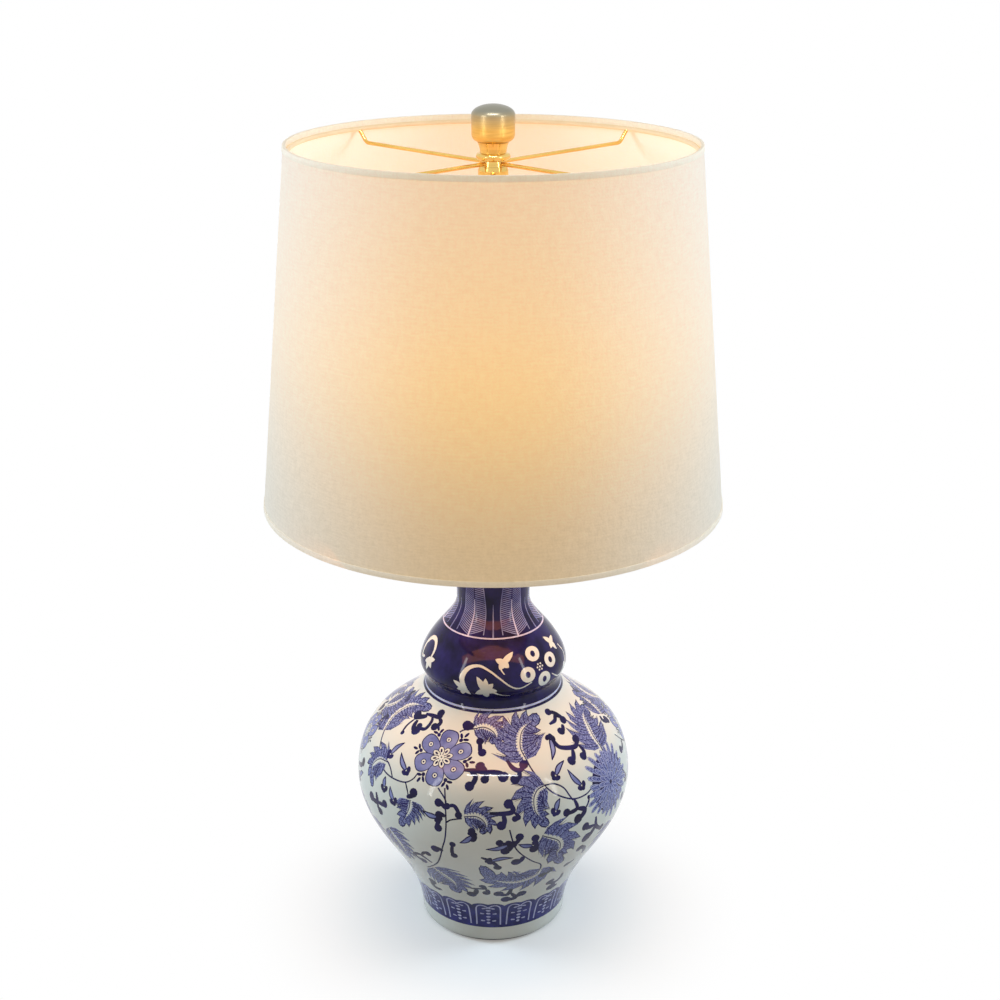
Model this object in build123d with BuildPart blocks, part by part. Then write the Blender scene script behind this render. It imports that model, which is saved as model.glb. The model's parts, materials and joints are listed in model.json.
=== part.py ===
from build123d import *
import os
from math import atan2, cos, degrees, radians, sin

# Table lamp: a double-gourd porcelain body that carries a socket, a harp and a tapered shade.
# Millimetres, +Z up. The origin is on the table, at the centre of the felt ring's underside.

# Felt and foot
felt_thickness = 2.0
felt_inset = 0.7
foot_rim = 10.0
foot_round = 3.0
wall = 7.0
floor_thickness = 7.0
mouth_round = 2.0

# Outside of the body: a radius at each station, and the rise to it from the station below
foot_radius = 60.2
foot_rise = 6.0
flare_radius = 66.0
flare_rise = 26.0
flank_radius = 89.3
flank_rise = 44.0
belly_radius = 112.1
belly_rise = 52.0
shoulder_radius = 104.7
shoulder_rise = 38.0
collar_radius = 55.5
collar_rise = 45.0
crease_radius = 53.5
crease_rise = 11.0
lip_radius = 56.7
lip_rise = 3.1
bulge_radius = 50.0
bulge_rise = 28.9
throat_radius = 38.0
throat_rise = 15.0
neck_radius = 29.0
neck_rise = 19.0
mouth_radius = 31.5
mouth_rise = 56.0
foot_lean = 7.0
shoulder_slope = 46.0
lip_lean = 45.0

# Threaded pipe through the body, and the washers and nut that clamp it under the floor
pipe_radius = 5.1
pipe_bore = 3.4
pipe_play = 0.4
thread_play = 0.05
pipe_tail = 1.2
washer_radius = 22.0
washer_thickness = 1.6
lock_radius = 9.5
lock_thickness = 1.0
lock_teeth = 12
nut_flats = 14.3
nut_height = 3.6
recess_spare = 1.0

# Cord inlet at the back
cord_rise = 7.6
cord_bore = 3.6
bushing_radius = 5.2
bushing_flange = 6.5
bushing_flange_thickness = 2.0
bushing_tail = 2.0
bushing_play = 0.3
seat_cut = 0.3

# Brass cap on the mouth, and the turned neck above it
gasket_thickness = 1.5
gasket_width = 5.0
cap_overhang = 1.0
cap_lip = 2.5
cap_dome = 7.5
cap_gauge = 1.0
neck_foot_radius = 12.0
neck_foot_height = 3.0
neck_waist_radius = 7.6
neck_head_radius = 10.0
neck_head_height = 2.5
neck_height = 17.0

# Harp, its saddle and its sleeves
saddle_gauge = 1.5
saddle_span = 57.0
saddle_width = 9.0
saddle_boss = 12.0
tab_width = 5.0
tab_height = 12.0
wire_radius = 2.0
leg_play = 0.1
seat_play = 0.1
harp_height = 254.0
harp_half_width = 56.0
harp_wide_rise = 95.0
harp_crown_half = 44.0
leg_bend = 40.0
side_bend = 80.0
crown_bend = 34.0
sleeve_wall = 0.9
sleeve_length = 18.0
sleeve_travel = 14.0
sleeve_play = 0.3
sleeve_margin = 14.0
seat_top_radius = 10.2
seat_radius = 11.2
seat_height = 9.0
seat_wire_drop = 4.6
stud_radius = 3.175
stud_length = 14.5

# Lamp socket
socket_radius = 17.2
shell_gauge = 0.5
shell_height = 44.0
liner_gauge = 0.7
liner_play = 0.1
socket_cap_gauge = 0.8
socket_hub_radius = 8.0
socket_hub_height = 5.0
socket_floor = 6.5
socket_flare = 10.2
socket_rim = 4.8
core_boss_radius = 7.8
core_boss_height = 9.5
core_height = 18.0
core_wire_room = 6.5
core_wire_radius = 5.4
screw_shell_gauge = 0.5
screw_shell_depth = 23.0
screw_play = 0.4
contact_radius = 5.5
contact_plate = 0.6
contact_button = 3.5
contact_rise = 2.2
contact_play = 0.3
terminal_radius = 2.6
terminal_height = 2.3
terminal_spread = 11.0

# Rotary switch on the socket's side
switch_rise = 9.0
shaft_radius = 2.2
shaft_play = 0.05
shaft_window = 3.2
shaft_inset = 4.0
knob_stand_off = 4.0
knob_radius = 6.2
knob_length = 14.0
knob_flutes = 14
knob_flute_radius = 0.7
knob_press = 0.02

# Screw-in bulb, heights counted up from the tip of its contact
bulb_tip_radius = 4.6
bulb_tip_height = 1.8
bulb_insulator_radius = 11.2
bulb_insulator_height = 4.4
bulb_cap_radius = 13.05
bulb_cap_gauge = 0.4
bulb_cap_shoulder = 2.6
bulb_cap_height = 20.0
bulb_neck_radius = 12.4
bulb_neck_depth = 5.0
bulb_radius = 30.0
bulb_flare_rise = 51.0
bulb_dome_rise = 32.0
bulb_glass_gauge = 0.8
stem_radius = 4.0
stem_foot_height = 4.0
stem_height = 36.0
filament_radius = 0.5
filament_spread = 12.0
filament_rise = 20.0
filament_lead = 4.0
filament_bend = 3.0

# Shade: a fabric-covered liner on two wire rings, hung from a four-armed spider
shade_top_radius = 151.8
shade_bottom_radius = 178.0
shade_height = 274.4
liner_thickness = 0.8
fabric_thickness = 0.6
hem_thickness = 0.6
hem_height = 3.6
hem_play = 0.05
ring_wire = 1.75
ring_depth = 5.2
ring_play = 0.15
hub_top_radius = 8.6
hub_bottom_radius = 9.6
hub_height = 4.2
hub_play = 0.3
arm_wire = 1.5
arm_count = 4
arm_turn = 45.0
arm_inset = 3.0
arm_play = 0.02
arm_drop = 9.9
arm_kick = 8.5
arm_bend = 6.0

# Finial
finial_gap = 0.2
flange_radius = 12.7
flange_foot_radius = 9.6
flange_height = 5.2
finial_neck_radius = 9.8
finial_neck_height = 7.6
finial_neck_top = 11.6
knob_foot_radius = 11.1
barrel_radius = 15.9
barrel_foot_height = 6.0
barrel_height = 13.4
barrel_dome = 7.6
dome_pull = 0.55
insert_radius = 4.8
insert_length = 13.0
insert_gap = 0.3
insert_play = 0.05
insert_room = 0.6
stud_play = 0.075

# Heights of the body's stations, from the felt up
foot_bottom = felt_thickness
foot_z = foot_bottom + foot_rise
flare_z = foot_z + flare_rise
flank_z = flare_z + flank_rise
belly_z = flank_z + belly_rise
shoulder_z = belly_z + shoulder_rise
collar_z = shoulder_z + collar_rise
crease_z = collar_z + crease_rise
lip_z = crease_z + lip_rise
bulge_z = lip_z + bulge_rise
throat_z = bulge_z + throat_rise
neck_z = throat_z + neck_rise
mouth_z = neck_z + mouth_rise
neck_lean = degrees(atan2(mouth_radius - neck_radius, mouth_rise))

# Heights of what is clamped under the floor and stacked on the mouth
foot_recess = washer_thickness + lock_thickness + nut_height + pipe_tail + recess_spare
ceiling_z = foot_bottom + foot_recess
floor_z = ceiling_z + floor_thickness
cord_z = floor_z + cord_rise
washer_z = ceiling_z - washer_thickness
lock_z = washer_z - lock_thickness
nut_z = lock_z - nut_height
pipe_bottom = nut_z - pipe_tail
cap_z = mouth_z + gasket_thickness
neck_bottom = cap_z + cap_lip + cap_dome
saddle_z = neck_bottom + neck_height
saddle_top = saddle_z + saddle_gauge
socket_floor_z = saddle_top + socket_floor
core_z = socket_floor_z + core_boss_height
core_top = core_z + core_height
bulb_z = core_top + contact_rise + contact_play
seat_top = saddle_top + harp_height
hub_z = seat_top + seat_play
hub_top = hub_z + hub_height
arm_z = hub_z + hub_height / 2
ring_top_z = arm_z + arm_drop
shade_top = ring_top_z + ring_depth
shade_bottom = shade_top - shade_height
finial_z = hub_top + finial_gap

# Radii that follow from a fit
foot_edge = foot_radius - foot_round
foot_inner = foot_edge - foot_rim
pipe_hole = pipe_radius + pipe_play
pipe_thread = pipe_radius + thread_play
shell_inner = socket_radius - shell_gauge
liner_outer = shell_inner - liner_play
liner_inner = liner_outer - liner_gauge
core_radius = liner_inner - liner_play
screw_shell_inner = bulb_cap_radius + screw_play

os.makedirs("parts", exist_ok=True)


def save(builder, name):
    """Label a finished piece and write it under its own name."""
    builder.part.label = name
    export_step(builder.part, f"parts/{name}.step")


def tube(outer, inner, bottom, top):
    """A ring or tube about the lamp's axis."""
    with BuildPart() as ring:
        with BuildSketch(Plane.XY.offset(bottom)):
            Circle(outer)
            Circle(inner, mode=Mode.SUBTRACT)
        extrude(amount=top - bottom)
    return ring


def gourd_side(inset):
    """The lines of the body's side from the foot to the mouth, moved in to the axis by inset."""
    belly = Spline(
        (foot_radius - inset, foot_z),
        (flare_radius - inset, flare_z),
        (flank_radius - inset, flank_z),
        (belly_radius - inset, belly_z),
        (shoulder_radius - inset, shoulder_z),
        (collar_radius - inset, collar_z),
        tangents=[
            (sin(radians(foot_lean)), cos(radians(foot_lean))),
            (-cos(radians(shoulder_slope)), sin(radians(shoulder_slope))),
        ],
    )
    Line((collar_radius - inset, collar_z), (crease_radius - inset, crease_z))
    Spline(
        (crease_radius - inset, crease_z),
        (lip_radius - inset, lip_z),
        (bulge_radius - inset, bulge_z),
        (throat_radius - inset, throat_z),
        (neck_radius - inset, neck_z),
        tangents=[
            (sin(radians(lip_lean)), cos(radians(lip_lean))),
            (sin(radians(neck_lean)), cos(radians(neck_lean))),
        ],
        tangent_scalars=[1, 1],
    )
    Line((neck_radius - inset, neck_z), (mouth_radius - inset, mouth_z))
    return belly


# Porcelain body: two gourds of one even wall, a recessed foot, and a spot-faced hole for the cord
with BuildPart() as ceramic_body:
    with BuildSketch(Plane.XZ):
        with BuildLine():
            skin = gourd_side(0)
            Line((mouth_radius, mouth_z), (0, mouth_z))
            Line((0, mouth_z), (0, foot_bottom))
            Line((0, foot_bottom), (foot_edge, foot_bottom))
            foot_arc = RadiusArc(
                (foot_edge, foot_bottom), (foot_radius, foot_bottom + foot_round), -foot_round
            )
            Line(foot_arc @ 1, (foot_radius, foot_z))
        make_face()
    revolve(axis=Axis.Z)
    with BuildSketch(Plane.XZ):
        with BuildLine():
            gourd_side(wall)
            Line((mouth_radius - wall, mouth_z), (0, mouth_z))
            Line((0, mouth_z), (0, foot_z))
            Line((0, foot_z), (foot_radius - wall, foot_z))
        make_face()
        with Locations((0, floor_z)):
            Rectangle(2 * belly_radius, 2 * floor_z, align=(Align.CENTER, Align.MAX), mode=Mode.SUBTRACT)
    revolve(axis=Axis.Z, mode=Mode.SUBTRACT)
    fillet(ceramic_body.edges().group_by(Axis.Z)[-1], mouth_round)
    with BuildSketch(Plane.XY.offset(foot_bottom)):
        Circle(foot_inner)
    extrude(amount=foot_recess, mode=Mode.SUBTRACT)
    with BuildSketch(Plane.XY.offset(ceiling_z)):
        Circle(pipe_hole)
    extrude(amount=floor_thickness, mode=Mode.SUBTRACT)

    # The seat for the bushing's flange lies just inside the lowest point of its rim
    seat_line = Axis((0, cord_z - bushing_flange - bushing_play, 0), (1, 0, 0))
    cord_seat = skin.find_intersection_points(seat_line)[0].X - seat_cut
    with BuildSketch(Plane.XZ.offset(-cord_seat)):
        with Locations((0, cord_z)):
            Circle(bushing_flange + bushing_play)
    extrude(amount=-flare_radius, mode=Mode.SUBTRACT)
    with BuildSketch(Plane.XZ):
        with Locations((0, cord_z)):
            Circle(bushing_radius + bushing_play)
    extrude(amount=-cord_seat, mode=Mode.SUBTRACT)
save(ceramic_body, "ceramic_body")

# Felt glued under the foot
felt_ring = tube(foot_edge - felt_inset, foot_inner + felt_inset, 0, felt_thickness)
save(felt_ring, "felt_ring")

# Plastic bushing that the cord passes through
with BuildPart() as cord_bushing:
    cord_line = Axis((0, cord_z, 0), (1, 0, 0))
    tail_end = skin.find_intersection_points(cord_line)[0].X - wall - bushing_tail
    with BuildSketch(Plane.XZ.offset(-cord_seat)):
        with Locations((0, cord_z)):
            Circle(bushing_flange)
    extrude(amount=-bushing_flange_thickness)
    fillet(cord_bushing.edges().group_by(Axis.Y)[-1], bushing_flange_thickness / 2)
    with BuildSketch(Plane.XZ.offset(-tail_end)):
        with Locations((0, cord_z)):
            Circle(bushing_radius)
    extrude(amount=tail_end - cord_seat)
    with BuildSketch(Plane.XZ.offset(-tail_end)):
        with Locations((0, cord_z)):
            Circle(cord_bore)
    extrude(amount=tail_end - cord_seat - bushing_flange_thickness, mode=Mode.SUBTRACT)
save(cord_bushing, "cord_bushing")

# Washers and nut that clamp the pipe under the floor
base_washer = tube(washer_radius, pipe_hole, washer_z, ceiling_z)
save(base_washer, "base_washer")

with BuildPart() as lock_washer:
    with BuildSketch(Plane.XY.offset(lock_z)):
        Circle(lock_radius)
        with PolarLocations(lock_radius, lock_teeth):
            Circle(lock_radius / lock_teeth, mode=Mode.SUBTRACT)
        Circle(pipe_hole, mode=Mode.SUBTRACT)
    extrude(amount=lock_thickness)
save(lock_washer, "lock_washer")

with BuildPart() as base_nut:
    with BuildSketch(Plane.XY.offset(nut_z)):
        RegularPolygon(nut_flats / 2, 6, major_radius=False)
        Circle(pipe_thread, mode=Mode.SUBTRACT)
    extrude(amount=nut_height)
    outer_edges = base_nut.edges().filter_by(GeomType.LINE).filter_by(Axis.Z, reverse=True)
    chamfer(outer_edges, nut_height / 8)
save(base_nut, "base_nut")

lamp_pipe = tube(pipe_radius, pipe_bore, pipe_bottom, socket_floor_z)
save(lamp_pipe, "lamp_pipe")

# Gasket and spun brass cap that close the mouth
gasket_outer = mouth_radius - mouth_round
cap_gasket = tube(gasket_outer, gasket_outer - gasket_width, mouth_z, cap_z)
save(cap_gasket, "cap_gasket")

with BuildPart() as vase_cap:
    cap_radius = mouth_radius + cap_overhang
    cap_top = cap_z + cap_lip + cap_dome
    cap_inner_top = cap_top - cap_gauge
    with BuildSketch(Plane.XZ):
        with BuildLine():
            Line((cap_radius, cap_z), (cap_radius, cap_z + cap_lip))
            Spline(
                (cap_radius, cap_z + cap_lip),
                (neck_foot_radius, cap_top),
                tangents=[(-0.5, 1), (-1, 0)],
            )
            Polyline(
                (neck_foot_radius, cap_top),
                (pipe_hole, cap_top),
                (pipe_hole, cap_inner_top),
                (neck_foot_radius, cap_inner_top),
            )
            Spline(
                (neck_foot_radius, cap_inner_top),
                (cap_radius - cap_gauge, cap_z + cap_lip),
                tangents=[(1, 0), (0.5, -1)],
            )
            Polyline(
                (cap_radius - cap_gauge, cap_z + cap_lip),
                (cap_radius - cap_gauge, cap_z + cap_gauge),
                (gasket_outer - gasket_width, cap_z + cap_gauge),
                (gasket_outer - gasket_width, cap_z),
                (cap_radius, cap_z),
            )
        make_face()
    revolve(axis=Axis.Z)
save(vase_cap, "vase_cap")

# Turned brass neck between the cap and the saddle
with BuildPart() as neck_spacer:
    waist_low = neck_bottom + neck_foot_height
    waist_high = saddle_z - neck_head_height
    with BuildSketch(Plane.XZ):
        with BuildLine():
            Polyline(
                (pipe_hole, waist_low),
                (pipe_hole, neck_bottom),
                (neck_foot_radius, neck_bottom),
                (neck_foot_radius, waist_low),
            )
            Spline(
                (neck_foot_radius, waist_low),
                (neck_waist_radius, (waist_low + waist_high) / 2),
                (neck_head_radius, waist_high),
                tangents=[(-1, 0.2), (1, 0.6)],
            )
            Polyline(
                (neck_head_radius, waist_high),
                (neck_head_radius, saddle_z),
                (pipe_hole, saddle_z),
                (pipe_hole, waist_low),
            )
        make_face()
    revolve(axis=Axis.Z)
    round_edges = neck_spacer.edges().filter_by(GeomType.CIRCLE).sort_by(SortBy.RADIUS)[-2:]
    fillet(round_edges, neck_head_height / 4)
save(neck_spacer, "neck_spacer")

# Saddle: a flat strip with an upturned tab at each end, where the harp's legs stand
tab_y = (saddle_span - saddle_gauge) / 2
with BuildPart() as harp_saddle:
    with BuildSketch(Plane.XY.offset(saddle_z)):
        Circle(saddle_boss)
        Rectangle(saddle_width, saddle_span)
        Circle(pipe_hole, mode=Mode.SUBTRACT)
    extrude(amount=saddle_gauge)
    with BuildSketch(Plane.XY.offset(saddle_top)):
        with Locations((0, tab_y), (0, -tab_y)):
            Rectangle(tab_width, saddle_gauge)
    extrude(amount=tab_height)
    end_edges = harp_saddle.edges().filter_by(Axis.X).group_by(Axis.Z)[0]
    fillet(end_edges, saddle_gauge * 0.8)
    tab_corners = harp_saddle.edges().filter_by(Axis.Y).group_by(Axis.Z)[-1]
    fillet(tab_corners, tab_width * 0.4)
save(harp_saddle, "harp_saddle")

# Harp: one wire bent from leg to leg over a level crown
leg_y = saddle_span / 2 - saddle_gauge - leg_play - wire_radius
leg_bottom = saddle_top + seat_play
leg_turn = leg_bottom + sleeve_length + sleeve_travel + sleeve_margin
wire_top = seat_top - seat_wire_drop
wide_z = saddle_top + harp_wide_rise
half_route = [
    (leg_y, leg_bottom),
    (leg_y, leg_turn),
    (harp_half_width, wide_z),
    (harp_crown_half, wire_top),
]
other_half = [(-y, z) for y, z in reversed(half_route)]
bends = [leg_bend, side_bend, crown_bend]
with BuildPart() as harp_loop:
    with BuildLine(Plane.YZ):
        FilletPolyline(*half_route, *other_half, radius=bends + bends[::-1])
    with BuildSketch(Plane((0, leg_y, leg_bottom))):
        Circle(wire_radius)
    sweep()
    chamfer(harp_loop.edges().group_by(Axis.Z)[0], wire_radius / 4)
save(harp_loop, "harp_loop")

# Seat on the harp's crown, with the stud that the finial screws on
with BuildPart() as harp_seat:
    with BuildSketch(Plane.XZ):
        with BuildLine():
            Polyline(
                (0, seat_top - seat_height),
                (seat_radius, seat_top - seat_height),
                (seat_radius, seat_top - seat_height / 3),
                (seat_top_radius, seat_top),
                (stud_radius, seat_top),
                (stud_radius, seat_top + stud_length),
                (0, seat_top + stud_length),
                close=True,
            )
        make_face()
    revolve(axis=Axis.Z)
    stud_end = harp_seat.edges().group_by(Axis.Z)[-1]
    chamfer(stud_end, stud_radius / 5)
    with BuildSketch(Plane.XZ):
        with Locations((0, wire_top)):
            Circle(wire_radius + thread_play)
    extrude(amount=seat_radius * 2, both=True, mode=Mode.SUBTRACT)
save(harp_seat, "harp_seat")

# Sleeves that slide down over a leg and its tab
sleeve_y = (leg_y - wire_radius + saddle_span / 2) / 2
sleeve_inner = (((saddle_span / 2 - sleeve_y) ** 2 + (tab_width / 2) ** 2) ** 0.5) + sleeve_play
sleeve_bottom = saddle_top + sleeve_play
for name, y in (("sleeve_front", -sleeve_y), ("sleeve_back", sleeve_y)):
    with BuildPart() as sleeve:
        with BuildSketch(Plane((0, y, sleeve_bottom))):
            Circle(sleeve_inner + sleeve_wall)
            Circle(sleeve_inner, mode=Mode.SUBTRACT)
        extrude(amount=sleeve_length)
        rims = sleeve.edges().filter_by(GeomType.CIRCLE).sort_by(SortBy.RADIUS)[-2:]
        fillet(rims, sleeve_wall / 3)
    save(sleeve, name)

# Socket cap: a hub on the pipe that flares out to hold the shell
cap_inner = socket_radius + liner_play
cap_outer = cap_inner + socket_cap_gauge
flare_z_top = saddle_top + socket_hub_height + socket_flare
with BuildPart() as socket_cap:
    with BuildSketch(Plane.XZ):
        with BuildLine():
            Polyline(
                (pipe_thread, socket_floor_z),
                (pipe_thread, saddle_top),
                (socket_hub_radius, saddle_top),
                (socket_hub_radius, saddle_top + socket_hub_height),
            )
            Spline(
                (socket_hub_radius, saddle_top + socket_hub_height),
                (cap_outer, flare_z_top),
                tangents=[(1, 0.3), (0.3, 1)],
            )
            Polyline(
                (cap_outer, flare_z_top),
                (cap_outer, flare_z_top + socket_rim),
                (cap_inner, flare_z_top + socket_rim),
                (cap_inner, flare_z_top),
            )
            Spline(
                (cap_inner, flare_z_top),
                (socket_hub_radius + socket_cap_gauge, socket_floor_z),
                tangents=[(-0.3, -1), (-1, -0.3)],
            )
            Line((socket_hub_radius + socket_cap_gauge, socket_floor_z), (pipe_thread, socket_floor_z))
        make_face()
    revolve(axis=Axis.Z)
save(socket_cap, "socket_cap")

# Moulded core of the socket, with the switch's shaft hole in its side
shaft_z = core_z + switch_rise
with BuildPart() as socket_core:
    with BuildSketch(Plane.XY.offset(socket_floor_z)):
        Circle(core_boss_radius)
    extrude(amount=core_boss_height)
    with BuildSketch(Plane.XY.offset(core_z)):
        Circle(core_radius)
    extrude(amount=core_height)
    with BuildSketch(Plane.XY.offset(socket_floor_z)):
        Circle(core_wire_radius)
    extrude(amount=core_wire_room, mode=Mode.SUBTRACT)
    with BuildSketch(Plane.YZ.offset(shaft_inset - shaft_play)):
        with Locations((0, shaft_z)):
            Circle(shaft_radius + shaft_play)
    extrude(amount=core_radius, mode=Mode.SUBTRACT)
save(socket_core, "socket_core")

with BuildPart() as terminal_screws:
    with BuildSketch(Plane.XY.offset(core_z - terminal_height)):
        with Locations((0, terminal_spread), (0, -terminal_spread)):
            Circle(terminal_radius)
            Rectangle(2 * terminal_radius, terminal_radius / 4, mode=Mode.SUBTRACT)
    extrude(amount=terminal_height / 3)
    with BuildSketch(Plane.XY.offset(core_z - terminal_height * 2 / 3)):
        with Locations((0, terminal_spread), (0, -terminal_spread)):
            Circle(terminal_radius)
    extrude(amount=terminal_height * 2 / 3)
save(terminal_screws, "terminal_screws")

# Brass shell and fibre liner round the core, each with a window for the shaft
shell_z = flare_z_top + liner_play
shell_top = shell_z + shell_height
for name, outer, inner, bottom, top in (
    ("socket_shell", socket_radius, shell_inner, shell_z, shell_top),
    ("socket_liner", liner_outer, liner_inner, core_z, shell_top - socket_rim / 2),
):
    with BuildPart() as sleeve:
        with BuildSketch(Plane.XY.offset(bottom)):
            Circle(outer)
            Circle(inner, mode=Mode.SUBTRACT)
        extrude(amount=top - bottom)
        with BuildSketch(Plane.YZ):
            with Locations((0, shaft_z)):
                Circle(shaft_window)
        extrude(amount=socket_radius * 2, mode=Mode.SUBTRACT)
    save(sleeve, name)

# Screw shell and centre contact that feed the bulb
with BuildPart() as screw_shell:
    with BuildSketch(Plane.XY.offset(core_top)):
        Circle(screw_shell_inner + screw_shell_gauge)
        Circle(contact_radius + contact_plate, mode=Mode.SUBTRACT)
    extrude(amount=screw_shell_gauge)
    with BuildSketch(Plane.XY.offset(core_top + screw_shell_gauge)):
        Circle(screw_shell_inner + screw_shell_gauge)
        Circle(screw_shell_inner, mode=Mode.SUBTRACT)
    extrude(amount=screw_shell_depth - screw_shell_gauge)
save(screw_shell, "screw_shell")

with BuildPart() as centre_contact:
    with BuildSketch(Plane.XY.offset(core_top)):
        Circle(contact_radius)
    extrude(amount=contact_plate)
    with BuildSketch(Plane.XY.offset(core_top + contact_plate)):
        Circle(contact_button)
    extrude(amount=contact_rise - contact_plate)
    fillet(centre_contact.edges().group_by(Axis.Z)[-1], (contact_rise - contact_plate) / 2)
save(centre_contact, "centre_contact")

# Switch: a shaft in the core, and the fluted knob pressed on its end
knob_x = socket_radius + knob_stand_off
shaft_end = knob_x + knob_length * 0.8
with BuildPart() as switch_shaft:
    with BuildSketch(Plane.YZ.offset(shaft_inset)):
        with Locations((0, shaft_z)):
            Circle(shaft_radius)
    extrude(amount=shaft_end - shaft_inset)
save(switch_shaft, "switch_shaft")

with BuildPart() as switch_knob:
    with BuildSketch(Plane.YZ.offset(knob_x)):
        with Locations((0, shaft_z)):
            Circle(knob_radius)
    extrude(amount=knob_length, taper=2)
    fillet(switch_knob.edges().group_by(Axis.X)[-1], knob_radius / 5)
    with BuildSketch(Plane.YZ.offset(knob_x + knob_length / 5)):
        with Locations((0, shaft_z)):
            with PolarLocations(knob_radius, knob_flutes):
                Circle(knob_flute_radius)
    extrude(amount=knob_length, mode=Mode.SUBTRACT)
    with BuildSketch(Plane.YZ.offset(knob_x)):
        with Locations((0, shaft_z)):
            Circle(shaft_radius + knob_press)
    extrude(amount=shaft_end - knob_x, mode=Mode.SUBTRACT)
save(switch_knob, "switch_knob")

# Bulb base: contact tip, insulator and threaded cap
insulator_z = bulb_z + bulb_tip_height
bulb_cap_z = insulator_z + bulb_insulator_height - bulb_tip_height / 2
bulb_cap_top = bulb_cap_z + bulb_cap_height
with BuildPart() as bulb_contact:
    with BuildSketch(Plane.XY.offset(bulb_z)):
        Circle(bulb_tip_radius)
    extrude(amount=bulb_tip_height)
    fillet(bulb_contact.edges().group_by(Axis.Z)[0], bulb_tip_height * 0.6)
save(bulb_contact, "bulb_contact")

with BuildPart() as bulb_insulator:
    with BuildSketch(Plane.XZ):
        with BuildLine():
            Polyline(
                (0, insulator_z),
                (bulb_tip_radius, insulator_z),
                (bulb_insulator_radius, insulator_z + bulb_insulator_height * 0.75),
                (bulb_insulator_radius, insulator_z + bulb_insulator_height),
                (0, insulator_z + bulb_insulator_height),
                close=True,
            )
        make_face()
    revolve(axis=Axis.Z)
save(bulb_insulator, "bulb_insulator")

with BuildPart() as bulb_cap:
    cap_foot = bulb_insulator_radius + thread_play
    cap_bore = bulb_cap_radius - bulb_cap_gauge
    with BuildSketch(Plane.XZ):
        with BuildLine():
            Polyline(
                (cap_foot, bulb_cap_z),
                (bulb_cap_radius, bulb_cap_z + bulb_cap_shoulder),
                (bulb_cap_radius, bulb_cap_top),
                (cap_bore, bulb_cap_top),
                (cap_bore, bulb_cap_z + bulb_cap_shoulder),
                (cap_foot, bulb_cap_z + bulb_cap_gauge),
                close=True,
            )
        make_face()
    revolve(axis=Axis.Z)
save(bulb_cap, "bulb_cap")


def bulb_side(inset):
    """The bulb's glass outline from the neck's foot to the crown, moved in by inset."""
    foot = (bulb_neck_radius - inset, glass_z)
    neck = (bulb_neck_radius - inset, bulb_cap_top)
    wide = (bulb_radius - inset, glass_wide_z)
    crown = (0, glass_wide_z + bulb_dome_rise - inset)
    Line(foot, neck)
    Spline(neck, wide, tangents=[(0.15, 1), (0, 1)])
    Spline(wide, crown, tangents=[(0, 1), (-1, 0)])
    return foot, crown


# Bulb glass, and the mount inside it
glass_z = bulb_cap_top - bulb_neck_depth
glass_wide_z = bulb_cap_top + bulb_flare_rise
stem_top = glass_z + stem_height
with BuildPart() as bulb_glass:
    with BuildSketch(Plane.XZ):
        with BuildLine():
            outer_foot, outer_crown = bulb_side(0)
            inner_foot, inner_crown = bulb_side(bulb_glass_gauge)
            Line(outer_foot, inner_foot)
            Line(outer_crown, inner_crown)
        make_face()
    revolve(axis=Axis.Z)
save(bulb_glass, "bulb_glass")

with BuildPart() as bulb_stem:
    stem_foot_radius = bulb_neck_radius - bulb_glass_gauge - thread_play
    with BuildSketch(Plane.XZ):
        with BuildLine():
            Polyline(
                (stem_radius, stem_top),
                (0, stem_top),
                (0, glass_z),
                (stem_foot_radius, glass_z),
            )
            Spline(
                (stem_foot_radius, glass_z),
                (stem_radius, glass_z + stem_foot_height),
                (stem_radius, stem_top),
                tangents=[(-1, 0.1), (0, 1)],
            )
        make_face()
    revolve(axis=Axis.Z)
save(bulb_stem, "bulb_stem")

with BuildPart() as bulb_filament:
    lead = stem_radius * 0.6
    high = stem_top + filament_rise
    with BuildLine(Plane.XZ):
        FilletPolyline(
            (-lead, stem_top),
            (-lead, stem_top + filament_lead),
            (-filament_spread, high),
            (filament_spread, high),
            (lead, stem_top + filament_lead),
            (lead, stem_top),
            radius=filament_bend,
        )
    with BuildSketch(Plane((-lead, 0, stem_top))):
        Circle(filament_radius)
    sweep()
save(bulb_filament, "bulb_filament")

# Shade cloth and liner: two cones of one taper, face to face
shade_lean = (shade_bottom_radius - shade_top_radius) / shade_height


def shade_radius(z):
    """Outside radius of the shade's cloth at a height."""
    return shade_top_radius + (shade_top - z) * shade_lean


for name, inset, thickness in (
    ("shade_fabric", 0, fabric_thickness),
    ("shade_liner", fabric_thickness, liner_thickness),
):
    with BuildPart() as cone:
        with BuildSketch(Plane.XZ):
            with BuildLine():
                Polyline(
                    (shade_bottom_radius - inset, shade_bottom),
                    (shade_top_radius - inset, shade_top),
                    (shade_top_radius - inset - thickness, shade_top),
                    (shade_bottom_radius - inset - thickness, shade_bottom),
                    close=True,
                )
            make_face()
        revolve(axis=Axis.Z)
    save(cone, name)

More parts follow.
